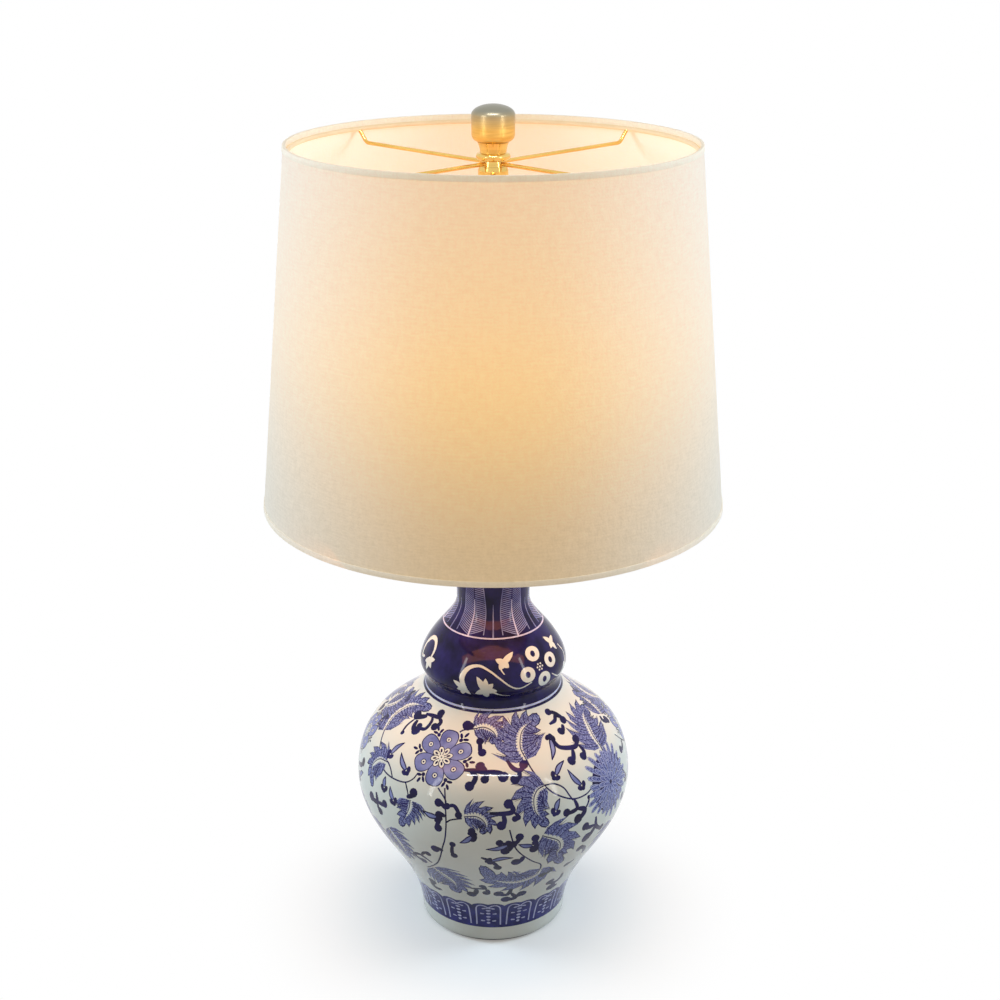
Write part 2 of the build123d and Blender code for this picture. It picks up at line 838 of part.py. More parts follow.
# Hems folded over both edges with a glue line between, and the wire rings inside them
shade_gauge = fabric_thickness + liner_thickness
fold_gauge = shade_gauge + hem_play
for end, edge_z, inward in (("top", shade_top, -1), ("bottom", shade_bottom, 1)):
    hem_end = edge_z + inward * hem_height
    hem_fold = edge_z - inward * hem_play
    hem_edge = hem_fold - inward * hem_thickness
    edge_radius = shade_radius(edge_z)
    end_radius = shade_radius(hem_end)
    with BuildPart() as hem:
        with BuildSketch(Plane.XZ):
            with BuildLine():
                Polyline(
                    (end_radius + hem_play, hem_end),
                    (end_radius + hem_play + hem_thickness, hem_end),
                    (edge_radius + hem_play + hem_thickness, hem_edge),
                    (edge_radius - fold_gauge - hem_thickness, hem_edge),
                    (end_radius - fold_gauge - hem_thickness, hem_end),
                    (end_radius - fold_gauge, hem_end),
                    (edge_radius - fold_gauge, hem_fold),
                    (edge_radius + hem_play, hem_fold),
                    close=True,
                )
            make_face()
        revolve(axis=Axis.Z)
    save(hem, f"shade_{end}_hem")

    ring_z = edge_z + inward * ring_depth
    ring_radius = shade_radius(ring_z) - shade_gauge - ring_play - ring_wire
    with BuildPart() as ring:
        with BuildSketch(Plane.XZ):
            with Locations((ring_radius, ring_z)):
                Circle(ring_wire)
        revolve(axis=Axis.Z)
    save(ring, f"shade_{end}_ring")

# Spider: a hub that turns on the harp's stud, and bent arms from it to the top ring
top_ring_radius = shade_radius(ring_top_z) - shade_gauge - ring_play - ring_wire
arm_turns = [arm_turn + 360 * step / arm_count for step in range(arm_count)]
arm_start = hub_top_radius - arm_inset
bend_radius = top_ring_radius - arm_kick
kick_length = (arm_kick**2 + arm_drop**2) ** 0.5
reach = 1 - (ring_wire + ring_play) / kick_length
arm_end = (bend_radius + arm_kick * reach, arm_z + arm_drop * reach)

with BuildPart() as spider_hub:
    with BuildSketch(Plane.XZ):
        with BuildLine():
            Polyline(
                (stud_radius + hub_play, hub_z),
                (hub_bottom_radius, hub_z),
                (hub_top_radius, hub_top),
                (stud_radius + hub_play, hub_top),
                close=True,
            )
        make_face()
    revolve(axis=Axis.Z)
    for turn in arm_turns:
        outward = (cos(radians(turn)), sin(radians(turn)), 0)
        start = (arm_start * outward[0], arm_start * outward[1], arm_z)
        with BuildSketch(Plane(start, z_dir=outward)):
            Circle(arm_wire + arm_play)
        extrude(amount=hub_bottom_radius, mode=Mode.SUBTRACT)
save(spider_hub, "spider_hub")

with BuildPart() as spider_arms:
    for turn in arm_turns:
        outward = (cos(radians(turn)), sin(radians(turn)), 0)
        across = (sin(radians(turn)), -cos(radians(turn)), 0)
        start = (arm_start * outward[0], arm_start * outward[1], arm_z)
        with BuildLine(Plane((0, 0, 0), x_dir=outward, z_dir=across)) as arm_path:
            FilletPolyline((arm_start, arm_z), (bend_radius, arm_z), arm_end, radius=arm_bend)
        with BuildSketch(Plane(start, z_dir=outward)) as arm_section:
            Circle(arm_wire)
        sweep(arm_section.sketch, path=arm_path.line)
save(spider_arms, "spider_arms")

# Finial: a polished collar and a barrel knob round a threaded insert
collar_top = finial_z + flange_height + finial_neck_height
insert_z = finial_z + insert_gap
insert_top = insert_z + insert_length
insert_hole = insert_radius + insert_play
insert_ceiling = insert_top + insert_room
finial_insert = tube(insert_radius, stud_radius + stud_play, insert_z, insert_top)
save(finial_insert, "finial_insert")

with BuildPart() as finial_collar:
    flange_top = finial_z + flange_height
    with BuildSketch(Plane.XZ):
        with BuildLine():
            Polyline(
                (insert_hole, collar_top),
                (insert_hole, finial_z),
                (flange_foot_radius, finial_z),
            )
            ThreePointArc(
                (flange_foot_radius, finial_z),
                (flange_radius, finial_z + flange_height / 2),
                (finial_neck_radius, flange_top),
            )
            Spline(
                (finial_neck_radius, flange_top),
                (finial_neck_top, collar_top),
                tangents=[(0, 1), (0.45, 1)],
            )
            Line((finial_neck_top, collar_top), (insert_hole, collar_top))
        make_face()
    revolve(axis=Axis.Z)
save(finial_collar, "finial_collar")

with BuildPart() as finial_knob:
    barrel_low = collar_top + barrel_foot_height
    barrel_high = barrel_low + barrel_height
    knob_top = barrel_high + barrel_dome
    with BuildSketch(Plane.XZ):
        with BuildLine():
            Polyline(
                (0, knob_top),
                (0, insert_ceiling),
                (insert_hole, insert_ceiling),
                (insert_hole, collar_top),
                (knob_foot_radius, collar_top),
            )
            Spline(
                (knob_foot_radius, collar_top),
                (barrel_radius, barrel_low),
                tangents=[(1, 0.35), (0, 1)],
            )
            Line((barrel_radius, barrel_low), (barrel_radius, barrel_high))
            Bezier(
                (barrel_radius, barrel_high),
                (barrel_radius, barrel_high + dome_pull * barrel_dome),
                (dome_pull * barrel_radius, knob_top),
                (0, knob_top),
            )
        make_face()
    revolve(axis=Axis.Z)
save(finial_knob, "finial_knob")
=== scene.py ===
# %% [markdown]
# # A lit porcelain table lamp
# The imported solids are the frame: they fix where every piece is and how it moves. This lesson dresses
# them. The porcelain gets its painted flowers, the shade its linen, and the metal its brass, and the
# camera then looks at the lamp as the photograph does.

# %% Load the frame
import json
import math

import bmesh
import bpy
import numpy as np
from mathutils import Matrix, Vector
from mathutils.geometry import delaunay_2d_cdt

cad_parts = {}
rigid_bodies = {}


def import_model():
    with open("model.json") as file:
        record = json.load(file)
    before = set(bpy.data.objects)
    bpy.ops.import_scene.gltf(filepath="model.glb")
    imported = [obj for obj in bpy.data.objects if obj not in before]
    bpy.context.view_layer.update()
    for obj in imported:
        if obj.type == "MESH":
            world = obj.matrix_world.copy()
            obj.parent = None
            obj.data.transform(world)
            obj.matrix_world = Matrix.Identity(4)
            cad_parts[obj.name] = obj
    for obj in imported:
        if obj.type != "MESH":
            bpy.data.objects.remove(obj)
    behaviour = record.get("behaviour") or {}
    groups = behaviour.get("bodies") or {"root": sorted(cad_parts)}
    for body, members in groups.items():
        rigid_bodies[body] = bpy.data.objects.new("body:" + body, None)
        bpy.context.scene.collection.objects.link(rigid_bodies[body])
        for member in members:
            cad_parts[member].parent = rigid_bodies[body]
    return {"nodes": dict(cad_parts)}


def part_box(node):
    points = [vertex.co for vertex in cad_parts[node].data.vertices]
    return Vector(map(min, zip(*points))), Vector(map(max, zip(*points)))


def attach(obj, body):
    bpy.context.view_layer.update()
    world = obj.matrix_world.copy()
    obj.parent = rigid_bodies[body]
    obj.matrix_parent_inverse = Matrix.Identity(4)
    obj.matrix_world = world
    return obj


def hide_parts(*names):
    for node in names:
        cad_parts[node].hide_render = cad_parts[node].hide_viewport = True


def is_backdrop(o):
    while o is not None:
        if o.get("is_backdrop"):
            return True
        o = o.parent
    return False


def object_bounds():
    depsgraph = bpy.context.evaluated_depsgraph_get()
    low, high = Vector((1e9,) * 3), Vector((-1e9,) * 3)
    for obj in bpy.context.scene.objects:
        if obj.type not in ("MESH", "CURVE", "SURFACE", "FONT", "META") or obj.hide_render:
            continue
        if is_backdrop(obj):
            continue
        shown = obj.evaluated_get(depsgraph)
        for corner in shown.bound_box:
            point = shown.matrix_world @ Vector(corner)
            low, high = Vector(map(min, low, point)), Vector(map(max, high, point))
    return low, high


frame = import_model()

for startup in [o for o in bpy.data.objects if o.name in ("Cube", "Light", "Camera")]:
    bpy.data.objects.remove(startup)
cad_low, cad_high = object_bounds()
MM = 0.001
print("nodes", len(frame["nodes"]), "height", round(cad_high.z, 4))

# %% [markdown]
# ## Two helpers for every piece
# A turned piece could be lathed with a Screw modifier, but a bmesh spin is one call, leaves plain
# geometry and welds its own seam. `spun` turns a closed outline of (radius, height) points once round
# the lamp's axis. `add_piece` puts a finished bmesh in the scene, on the body that carries it.

# %% Helpers for pieces
ROUND_STEPS = 180


def spun(outline, steps=ROUND_STEPS, closed=True):
    """Turn an outline of (radius, height) points, in metres, once round the lamp's axis."""
    bm = bmesh.new()
    verts = [bm.verts.new((0.0, -radius, height)) for radius, height in outline]
    ends = verts[1:] + verts[:1] if closed else verts[1:]
    edges = [bm.edges.new(pair) for pair in zip(verts, ends)]
    bmesh.ops.spin(
        bm, geom=verts + edges, cent=(0, 0, 0), axis=(0, 0, 1), dvec=(0, 0, 0),
        angle=2 * math.pi, steps=steps, use_merge=True, use_duplicate=False,
    )
    bmesh.ops.remove_doubles(bm, verts=bm.verts, dist=1e-6)
    bmesh.ops.recalc_face_normals(bm, faces=bm.faces)
    return bm


def add_piece(bm, name, body, nodes, materials, smooth_angle=40.0):
    """Make a bmesh into a named piece that rides on a body and stands for these nodes."""
    mesh = bpy.data.meshes.new(name)
    for material in materials:
        mesh.materials.append(material)
    for face in bm.faces:
        face.smooth = True
    for edge in bm.edges:
        if len(edge.link_faces) == 2:
            edge.smooth = edge.calc_face_angle() < math.radians(smooth_angle)
    bm.to_mesh(mesh)
    bm.free()
    piece = bpy.data.objects.new(name, mesh)
    bpy.context.scene.collection.objects.link(piece)
    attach(piece, body)
    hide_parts(*nodes)
    print(name, "faces", len(mesh.polygons))
    return piece


# %% [markdown]
# ## Shader nodes in one line each
# A finish is a small graph of shader nodes. In the editor each node is added, set and wired by hand. In a
# script that would be a line for every socket, so these helpers add a node, feed its inputs with values
# or with other nodes, and give back the output that the next node needs.

# %% Helpers for shader nodes


def feed(tree, socket, source):
    """Link another node's output to a socket, or set a plain value on it."""
    if isinstance(source, bpy.types.NodeSocket):
        tree.links.new(source, socket)
    else:
        socket.default_value = source


def add_node(tree, kind, out, inputs, **settings):
    """Add a shader node with these settings, feed its inputs and return one of its outputs."""
    node = tree.nodes.new("ShaderNode" + kind)
    for setting, value in settings.items():
        setattr(node, setting, value)
    for key, source in inputs.items():
        feed(tree, node.inputs[key], source)
    return node.outputs[out]


def math_node(tree, operation, *values):
    """A Math node on sockets or plain numbers."""
    return add_node(tree, "Math", "Value", dict(enumerate(values)), operation=operation)


def map_range(tree, value, low, high, to_low=0.0, to_high=1.0, **settings):
    """A value moved from one range to another."""
    ends = {"From Min": low, "From Max": high, "To Min": to_low, "To Max": to_high}
    return add_node(tree, "MapRange", "Result", {"Value": value, **ends}, **settings)


def mixed(tree, factor, one, other, blend="MIX"):
    """Two colours mixed by a factor."""
    colours = {"Factor": factor, "A": one, "B": other}
    return add_node(tree, "Mix", "Result", colours, data_type="RGBA", blend_type=blend)


# %% Ramps and materials


def colour_ramp(tree, factor, stops, interpolation="LINEAR"):
    """A ramp of (position, colour) stops laid over a factor."""
    node = tree.nodes.new("ShaderNodeValToRGB")
    node.color_ramp.interpolation = interpolation
    elements = node.color_ramp.elements
    while len(elements) < len(stops):
        elements.new(0.5)
    for element, (position, colour) in zip(elements, stops):
        element.position = position
        element.color = (*colour, 1)
    feed(tree, node.inputs["Fac"], factor)
    return node.outputs["Color"]


def new_material(name):
    """A new material, its node tree and its Principled shader."""
    material = bpy.data.materials.new(name)
    material.use_nodes = True
    return material, material.node_tree, material.node_tree.nodes["Principled BSDF"]


# %% [markdown]
# ## Finishes
# Every finish is a Principled shader whose colour, roughness and bump come from noise on Object
# coordinates. Object coordinates stay put on the piece from every side and need no unwrapping, so one
# small helper can build all of them: it lays a ramp of colours over a noise, and adds a bump. Where a
# piece has a painted reflection, paler towards its top, a mix by height brings that in.

# %% A helper for finishes


def finish(name, colours, scale, roughness, detail=4.0, stretch=(1, 1, 1), bump=0.0, bump_depth=0.0002,
           edges=(0.32, 0.68), top=None, **sockets):
    """A Principled finish with noise-driven colour and roughness; sockets sets plain values."""
    material, tree, shader = new_material(name)
    coords = add_node(tree, "TexCoord", "Object", {})
    place = add_node(tree, "Mapping", "Vector", {"Vector": coords, "Scale": stretch})
    noise = add_node(tree, "TexNoise", "Fac", {"Vector": place, "Scale": scale, "Detail": detail})
    colour = colour_ramp(tree, noise, list(zip(edges, colours)))
    # A painted reflection: a paler colour mixed in by height towards the top of the piece.
    if top:
        reflection_colour, low, high = top
        height = add_node(tree, "SeparateXYZ", "Z", {"Vector": coords})
        colour = mixed(tree, map_range(tree, height, low, high), colour, (*reflection_colour, 1))
    feed(tree, shader.inputs["Base Color"], colour)
    feed(tree, shader.inputs["Roughness"], map_range(tree, noise, 0.0, 1.0, *roughness))
    if bump:
        relief = {"Strength": bump, "Distance": bump_depth, "Height": noise}
        feed(tree, shader.inputs["Normal"], add_node(tree, "Bump", "Normal", relief))
    for socket, value in sockets.items():
        shader.inputs[socket.replace("_", " ")].default_value = value
    return material


# %% [markdown]
# ## Glaze and cobalt
# The body is white porcelain painted in cobalt under a clear glaze. The paint has six strengths: the
# bare white, full dark cobalt, a stippled leaf wash, a thin petal wash, the pale lines left in dark
# ground and the even blue of the band round the foot. All share one glossy glaze, so the reflections
# run on over the painted edges.

# %% Porcelain finishes
GLAZE_ROUGHNESS = (0.04, 0.08)
GLAZE_GLOSS = 0.2


def glaze(name, thick, thin, scale, **more):
    """Paint between two strengths, under the clear glaze."""
    return finish(name, [thick, thin], scale, GLAZE_ROUGHNESS, Specular_IOR_Level=GLAZE_GLOSS, **more)


glazes = {
    "white": glaze("white_glaze", (0.64, 0.65, 0.59), (0.71, 0.71, 0.65), 14),
    "dark": glaze("dark_cobalt", (0.004, 0.002, 0.028), (0.014, 0.010, 0.105), 70),
    "leaf": glaze(
        "leaf_wash", (0.016, 0.020, 0.150), (0.270, 0.300, 0.560), 950, detail=2, edges=(0.38, 0.64)),
    "petal": glaze("petal_wash", (0.095, 0.115, 0.330), (0.260, 0.290, 0.540), 75),
    "line": glaze("pale_line", (0.38, 0.39, 0.62), (0.56, 0.57, 0.80), 80),
    "band": glaze("band_cobalt", (0.012, 0.012, 0.105), (0.034, 0.036, 0.220), 110),
}
paints = {kind: slot for slot, kind in enumerate(glazes)}
print("paints", paints)

# %% [markdown]
# ## The skin to paint on
# The body is a surface of revolution, so its outside unrolls to a flat sheet: the angle round the axis
# one way and the length along the outline the other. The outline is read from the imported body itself,
# from the faces that look outwards, so the painted skin lies exactly where the solid is.

# %% Read the outline of the body
# How far a face must look outwards, and the least height between two stations in mm
FACES_OUT = 0.03
STATION_GAP = 0.9
cord_low, cord_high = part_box("cord_bushing")
body_mesh = frame["nodes"]["ceramic_body"].data
outer = set()
for face in body_mesh.polygons:
    centre = face.center
    away = Vector((centre.x, centre.y, 0)).normalized()
    near_cord = centre.y > 0 and abs(centre.x) < 2 * cord_high.x and centre.z < 2 * cord_high.z
    if face.normal.dot(away) > FACES_OUT and not near_cord:
        outer.update(face.vertices)
stations = sorted(
    (body_mesh.vertices[i].co.z / MM, body_mesh.vertices[i].co.xy.length / MM) for i in outer
)
outline = [stations[0]]
for height, radius in stations:
    at_mouth = height == stations[-1][0] and radius < outline[-1][1]
    if height - outline[-1][0] > STATION_GAP or at_mouth:
        outline.append((height, radius))
print("outline points", len(outline), "from", outline[0], "to", outline[-1])

# %% Unroll the outline
# Lengths along the skin count from this height, in mm
FOOT_TOP = 8.0
heights, radii = (np.array(column) for column in zip(*outline))
skin_run = np.concatenate([[0.0], np.cumsum(np.hypot(np.diff(heights), np.diff(radii)))])
skin_run -= np.interp(FOOT_TOP, heights, skin_run)


def skin_radius(run):
    """The body's radius at a length along the skin, in mm."""
    return np.interp(run, skin_run, radii)


def skin_height(run):
    """The height on the lamp at a length along the skin, in mm."""
    return np.interp(run, skin_run, heights)


print("skin runs from", round(skin_run[0], 1), "to", round(skin_run[-1], 1))

# %% [markdown]
# ## A brush for flat outlines
# A painter thinks in strokes, so the paint is kept as a list of filled outlines, each with a colour, and
# a later one covers an earlier one. Outlines are drawn in millimetres sideways and along the skin about
# a meridian, which keeps a round dot round on the narrow neck as on the wide belly. An image texture
# would need a picture file; outlines stay sharp at any distance.

# %% The brush
# Millimetres on the flat sheet for one radian round the axis
FLAT_RADIUS = 85.0
paint = []


def lay(kind, angle, shape):
    """Paint a filled shape of (sideways, along) points about the meridian at this angle, in degrees."""
    shape = np.asarray(shape, float)
    across = math.radians(angle) * FLAT_RADIUS + shape[:, 0] * FLAT_RADIUS / skin_radius(shape[:, 1])
    paint.append((paints[kind], np.column_stack([across, shape[:, 1]])))


def from_degrees(points):
    """Points of (angle, along) as sideways and along about the first point's meridian."""
    first = points[0][0]
    return [(math.radians(angle - first) * skin_radius(run), run) for angle, run in points]


# %% Lines, strokes and dots


def flow(points, steps=5):
    """A smooth line through the points."""
    points = np.asarray(points, float)
    padded = np.vstack([2 * points[0] - points[1], points, 2 * points[-1] - points[-2]])
    line = [points[0]]
    for before, start, end, after in zip(padded, padded[1:], padded[2:], padded[3:]):
        for step in range(1, steps + 1):
            t = step / steps
            line.append(
                0.5 * (2 * start + (end - before) * t + (2 * before - 5 * start + 4 * end - after) * t**2
                       + (3 * start - before - 3 * end + after) * t**3)
            )
    return np.array(line)


def sides(line):
    """Unit vectors to the left of a line, one for each of its points."""
    along = np.gradient(line, axis=0)
    along /= np.linalg.norm(along, axis=1)[:, None] + 1e-9
    return np.column_stack([-along[:, 1], along[:, 0]]), along


def ribbon(line, widths):
    """The outline of a stroke of changing width along a line."""
    left, _ = sides(line)
    half = np.broadcast_to(np.asarray(widths, float), (len(line),))[:, None] / 2
    return np.vstack([line + left * half, (line - left * half)[::-1]])


def disc(centre, wide, tall=None, turn=0.0, points=10):
    """A round or oval outline."""
    tall = wide if tall is None else tall
    around = np.linspace(0, 2 * math.pi, points, endpoint=False)
    x = wide * np.cos(around)
    y = tall * np.sin(around)
    c, s = math.cos(turn), math.sin(turn)
    return np.column_stack([centre[0] + c * x - s * y, centre[1] + s * x + c * y])


# %% [markdown]
# ## The painter's motifs
# Scroll painting repeats a few motifs: a thin stem, a comma stroke that ends in a round bulb, a bud with
# two dark sepals, and a serrated leaf with a pale band beside its rib. Each is a small function of a few
# points, so the whole belly can be set out as a list of places.

# %% Stems and commas
STEM_WIDTH = 1.25
OUTLINE_WIDTH = 0.85
# Bulbs are drawn a little smaller than they are listed
BULB_SHARE = 0.86


def stem(*points):
    """A thin even line through points of (angle, along)."""
    lay("dark", points[0][0], ribbon(flow(from_degrees(points)), STEM_WIDTH))


def comma(bulb, *points):
    """A stroke that swells and hooks into the round bulb at its last point."""
    local = np.array(from_degrees(points))
    path = flow(local)
    swell = np.interp(np.linspace(0, 1, len(path)), [0, 0.25, 0.75, 1], [0.55, 0.95, 1.1, 0.8])
    lay("dark", points[0][0], ribbon(path, BULB_SHARE * bulb * swell))
    before, after = local[-2] - local[-3], local[-1] - local[-2]
    bend = np.sign(before[0] * after[1] - before[1] * after[0])
    hook = bend * np.array([-after[1], after[0]]) / np.linalg.norm(after)
    lay("dark", points[0][0], disc(local[-1] + 0.4 * BULB_SHARE * bulb * hook, BULB_SHARE * bulb))


def twin(bulb, *points):
    """A comma with a bulb at both ends."""
    comma(bulb, *points)
    lay("dark", points[0][0], disc((0, points[0][1]), BULB_SHARE * bulb * 0.9))


# %% Buds


def bud(base, tip, width=5.4, bulb=2.5):
    """A pale pointed bud between two dark sepals."""
    start, end = (np.array(p) for p in from_degrees([base, tip]))
    length = np.linalg.norm(end - start)
    along = (end - start) / length
    left = np.array([-along[1], along[0]])
    line = flow([start, start + 0.5 * (end - start) + 0.08 * length * left, end], 8)
    t = np.linspace(0, 1, len(line))
    swell = np.sin(math.pi * np.clip(t * 0.92 + 0.08, 0, 1)) ** 0.8 * (1 - 0.45 * t)
    lay("dark", base[0], ribbon(line, width * swell + 0.5))
    inner = np.clip(width * swell - 2 * OUTLINE_WIDTH, 0.05, None)
    lay("petal", base[0], ribbon(line[1:-2], inner[1:-2]))
    lean = math.atan2(along[1], along[0])
    for side in (1, -1):
        heart = start - 0.4 * bulb * along + side * 0.95 * bulb * left
        lay("dark", base[0], disc(heart, 1.15 * bulb, 0.8 * bulb, lean + side * 0.5))
    lay("dark", base[0], disc(start - 1.2 * bulb * along, 0.8 * bulb))


# %% The edge of a serrated leaf
# Corners of one tooth: share of its length, share of the leaf's width, lean towards the tip
TOOTH = ((0.0, 0.56, 0.0), (0.40, 0.80, 0.10), (0.80, 1.0, 0.34), (0.86, 0.78, 0.16), (0.95, 0.60, 0.02))


def leaf_swell(t):
    """How wide a leaf is at a share of its length: broad at the foot and pointed at the tip."""
    return min(1.0, (t + 0.10) / 0.20) ** 0.6 * max(0.0, 1 - t**2) ** 0.7


def leaf_edge(line, width, teeth, side, shrink):
    """One serrated edge of a leaf, from its foot to its tip, drawn in by shrink."""
    left, along = sides(line)
    last = len(line) - 1
    edge = []
    for tooth in range(teeth):
        for part, reach, lean in TOOTH:
            t = (tooth + part) / teeth
            i = min(int(t * last), last - 1)
            point = line[i] + (t * last - i) * (line[i + 1] - line[i])
            out = max(width * leaf_swell(t) * reach - shrink, 0.05)
            forward = max(lean * width * leaf_swell(t) - 1.5 * shrink, 0)
            edge.append(point + side * left[i] * out + along[i] * forward)
    return np.array(edge)


# %% A whole leaf
# Leaves are drawn wider than they are listed; the pale band has a width and lies off the rib
LEAF_SPREAD = 1.18
PALE_BAND = 5.0
PALE_SHIFT = 0.7


def leaf(left, right, *points, teeth=7):
    """A serrated leaf along a rib of (angle, along) points, with a width to each side of the rib."""
    rib = flow(from_degrees(points), 8)
    angle = points[0][0]
    left, right = left * LEAF_SPREAD, right * LEAF_SPREAD
    for kind, shrink in (("dark", 0.0), ("leaf", OUTLINE_WIDTH)):
        one = leaf_edge(rib, left, teeth, 1, shrink)
        other = leaf_edge(rib, right, teeth, -1, shrink)
        tip = rib[-1] - (rib[-1] - rib[-2]) / np.linalg.norm(rib[-1] - rib[-2]) * 2 * shrink
        lay(kind, angle, np.vstack([one, tip, other[::-1]]))
    off, along = sides(rib)
    for share in np.arange(0.2, teeth, 0.5) / teeth:
        i = int(share * (len(rib) - 1))
        for side, width in ((1, left), (-1, right)):
            reach = width * leaf_swell(share + 0.6 / teeth)
            vein = np.array([rib[i], rib[i] + side * off[i] * 0.5 * reach + along[i] * 0.12 * reach,
                             rib[i] + side * off[i] * 0.84 * reach + along[i] * 0.40 * reach])
            lay("dark", angle, ribbon(vein, [0.8, 0.6, 0.25]))
    pale = rib[: int(len(rib) * 0.86)]
    t = np.linspace(0, 1, len(pale))
    band = PALE_BAND * np.sin(math.pi * np.clip(t + 0.1, 0, 1)) ** 0.6 + 0.2
    lay("white", angle, ribbon(pale + off[: len(pale)] * PALE_SHIFT, band))
    for i in range(2, len(pale) - 2, 2):
        for side in (1, -1):
            edge = pale[i] + off[i] * (PALE_SHIFT + side * band[i] / 2)
            point = edge - side * 1.5 * off[i] + 0.6 * along[i]
            lay("leaf", angle, [edge - 0.7 * along[i], point, edge + 0.7 * along[i]])
    rib_line = rib[: int(len(rib) * 0.92)]
    lay("dark", angle, ribbon(rib_line, np.linspace(0.95, 0.45, len(rib_line))))


# %% [markdown]
# ## Flowers
# An open flower has six washed petals, each with a ringed eye, round a rosette of eight white loops, with
# small dark sepals between the petals. The chrysanthemum is a burst of narrow petals in four rings. Both
# are loops over an angle, because a real painter repeats them too.

# %% A petal and the open flower


def petal_outline(run, turn, near, far, half, points=14):
    """A rounded petal from near to far along a direction, about a centre on the skin."""
    t = np.linspace(0, math.pi, points)
    along = near + (far - near) * (1 - np.cos(t)) / 2
    across = half * np.sin(t) ** 0.75 * (0.72 + 0.28 * (1 - np.cos(t)) / 2)
    c, s = math.cos(turn), math.sin(turn)
    edge = np.vstack([np.column_stack([along, across]), np.column_stack([along, -across])[::-1]])
    return np.column_stack([edge[:, 0] * c - edge[:, 1] * s, run + edge[:, 0] * s + edge[:, 1] * c])


def open_flower(angle, run, size, petals=6, turn=90.0):
    """Six washed petals with ringed eyes, round a rosette of white loops."""
    step = 2 * math.pi / petals
    ways = [math.radians(turn) + k * step for k in range(petals)]
    for way in ways:
        between = way + step / 2
        foot = np.array([math.cos(between), math.sin(between)]) * size * 0.86
        for fan, reach in ((-1, 0.13), (0, 0.20), (1, 0.13)):
            lean = between + fan
            tip = foot + size * reach * np.array([math.cos(lean), math.sin(lean)])
            lay("dark", angle, disc((tip[0], run + tip[1]), size * 0.05, size * 0.105, lean - 1.57, 8))
        lay("dark", angle, disc((foot[0] * 0.95, run + foot[1] * 0.95), size * 0.07))
    for way in ways:
        half = size * 0.37
        lay("dark", angle, petal_outline(run, way, size * 0.22, size, half))
        lay("petal", angle, petal_outline(
            run, way, size * 0.24, size - OUTLINE_WIDTH, half - OUTLINE_WIDTH))
        eye = (math.cos(way) * size * 0.64, run + math.sin(way) * size * 0.64)
        for kind, share in (("dark", 0.105), ("white", 0.078), ("dark", 0.034)):
            lay(kind, angle, disc(eye, size * share))
    lay("dark", angle, disc((0, run), size * 0.22))
    for k in range(8):
        way = math.radians(22.5) + k * math.pi / 4
        loop = (math.cos(way) * size * 0.235, run + math.sin(way) * size * 0.235)
        lay("dark", angle, disc(loop, size * 0.165, size * 0.118, way))
        lay("white", angle, disc(loop, size * 0.140, size * 0.090, way))
        lay("dark", angle, disc(loop, size * 0.070, size * 0.036, way, 8))
    lay("white", angle, disc((0, run), size * 0.10))
    lay("dark", angle, disc((0, run), size * 0.03, points=8))


# %% The chrysanthemum
# Rings of petals: how many, shares of the size where they start, end and are half as wide, first angle
MUM_RINGS = (
    (24, 0.50, 1.0, 0.085, 0.0), (20, 0.34, 0.80, 0.085, 0.14),
    (15, 0.16, 0.58, 0.085, 0.05), (9, 0.02, 0.34, 0.075, 0.2),
)


def chrysanthemum(angle, run, size):
    """A burst of narrow curled petals in rings on a dark ground, the outer ones first."""
    lay("dark", angle, disc((0, run), size * 0.80, points=40))
    for count, near, far, half, start in MUM_RINGS:
        for k in range(count):
            way = start + 2 * math.pi * k / count + 0.05 * math.sin(7 * k)
            far_end = size * far * (1 + 0.10 * math.sin(5 * k))
            for kind, inset in (("dark", 0.0), ("line", 0.35), ("leaf", 0.85)):
                lay(kind, angle, petal_outline(
                    run, way, size * near, far_end - 1.2 * inset, size * half - 0.9 * inset, 6))
    lay("dark", angle, disc((0, run), size * 0.06))


# %% [markdown]
# ## Set out the painting
# A painter works from the plain bands to the flowers, and so does this list. Rings run all the way round.
# A `patch` is a filled outline given in degrees. Everything after that is only places: an angle from the
# front and a length up the skin. What is painted on the front half is painted again on the back.

# %% Rings, patches and the copy for the back
HALF_WIDTH = math.pi * FLAT_RADIUS
GIRTH = 2 * HALF_WIDTH
SEAM = -GIRTH / 3
RING_STEPS = 120


def ring(kind, low, high):
    """A band all the way round, from low to high along the skin."""
    across = SEAM + GIRTH * np.arange(-1, RING_STEPS + 2) / RING_STEPS
    edges = [np.column_stack([across, np.full(len(across), run)]) for run in (low, high)]
    paint.append((paints[kind], np.vstack([edges[0], edges[1][::-1]])))


def patch(kind, *points):
    """A filled outline through points of (angle, along)."""
    lay(kind, points[0][0], from_degrees(points))


def line(kind, width, *points):
    """A line of one width through points of (angle, along)."""
    lay(kind, points[0][0], ribbon(flow(from_degrees(points)), width))


def dot(kind, angle, run, wide, tall=None, turn=0.0):
    """A round or oval dot on the skin, in mm."""
    lay(kind, angle, disc((0, run), wide, tall, math.radians(turn)))


def paint_back(first):
    """Repeat every stroke since this one half a turn round."""
    for kind, shape in paint[first:]:
        paint.append((kind, shape + np.array([HALF_WIDTH, 0])))


# %% The band of lappets round the foot
LAPPETS = 16
FIRST_LAPPET = -3.5
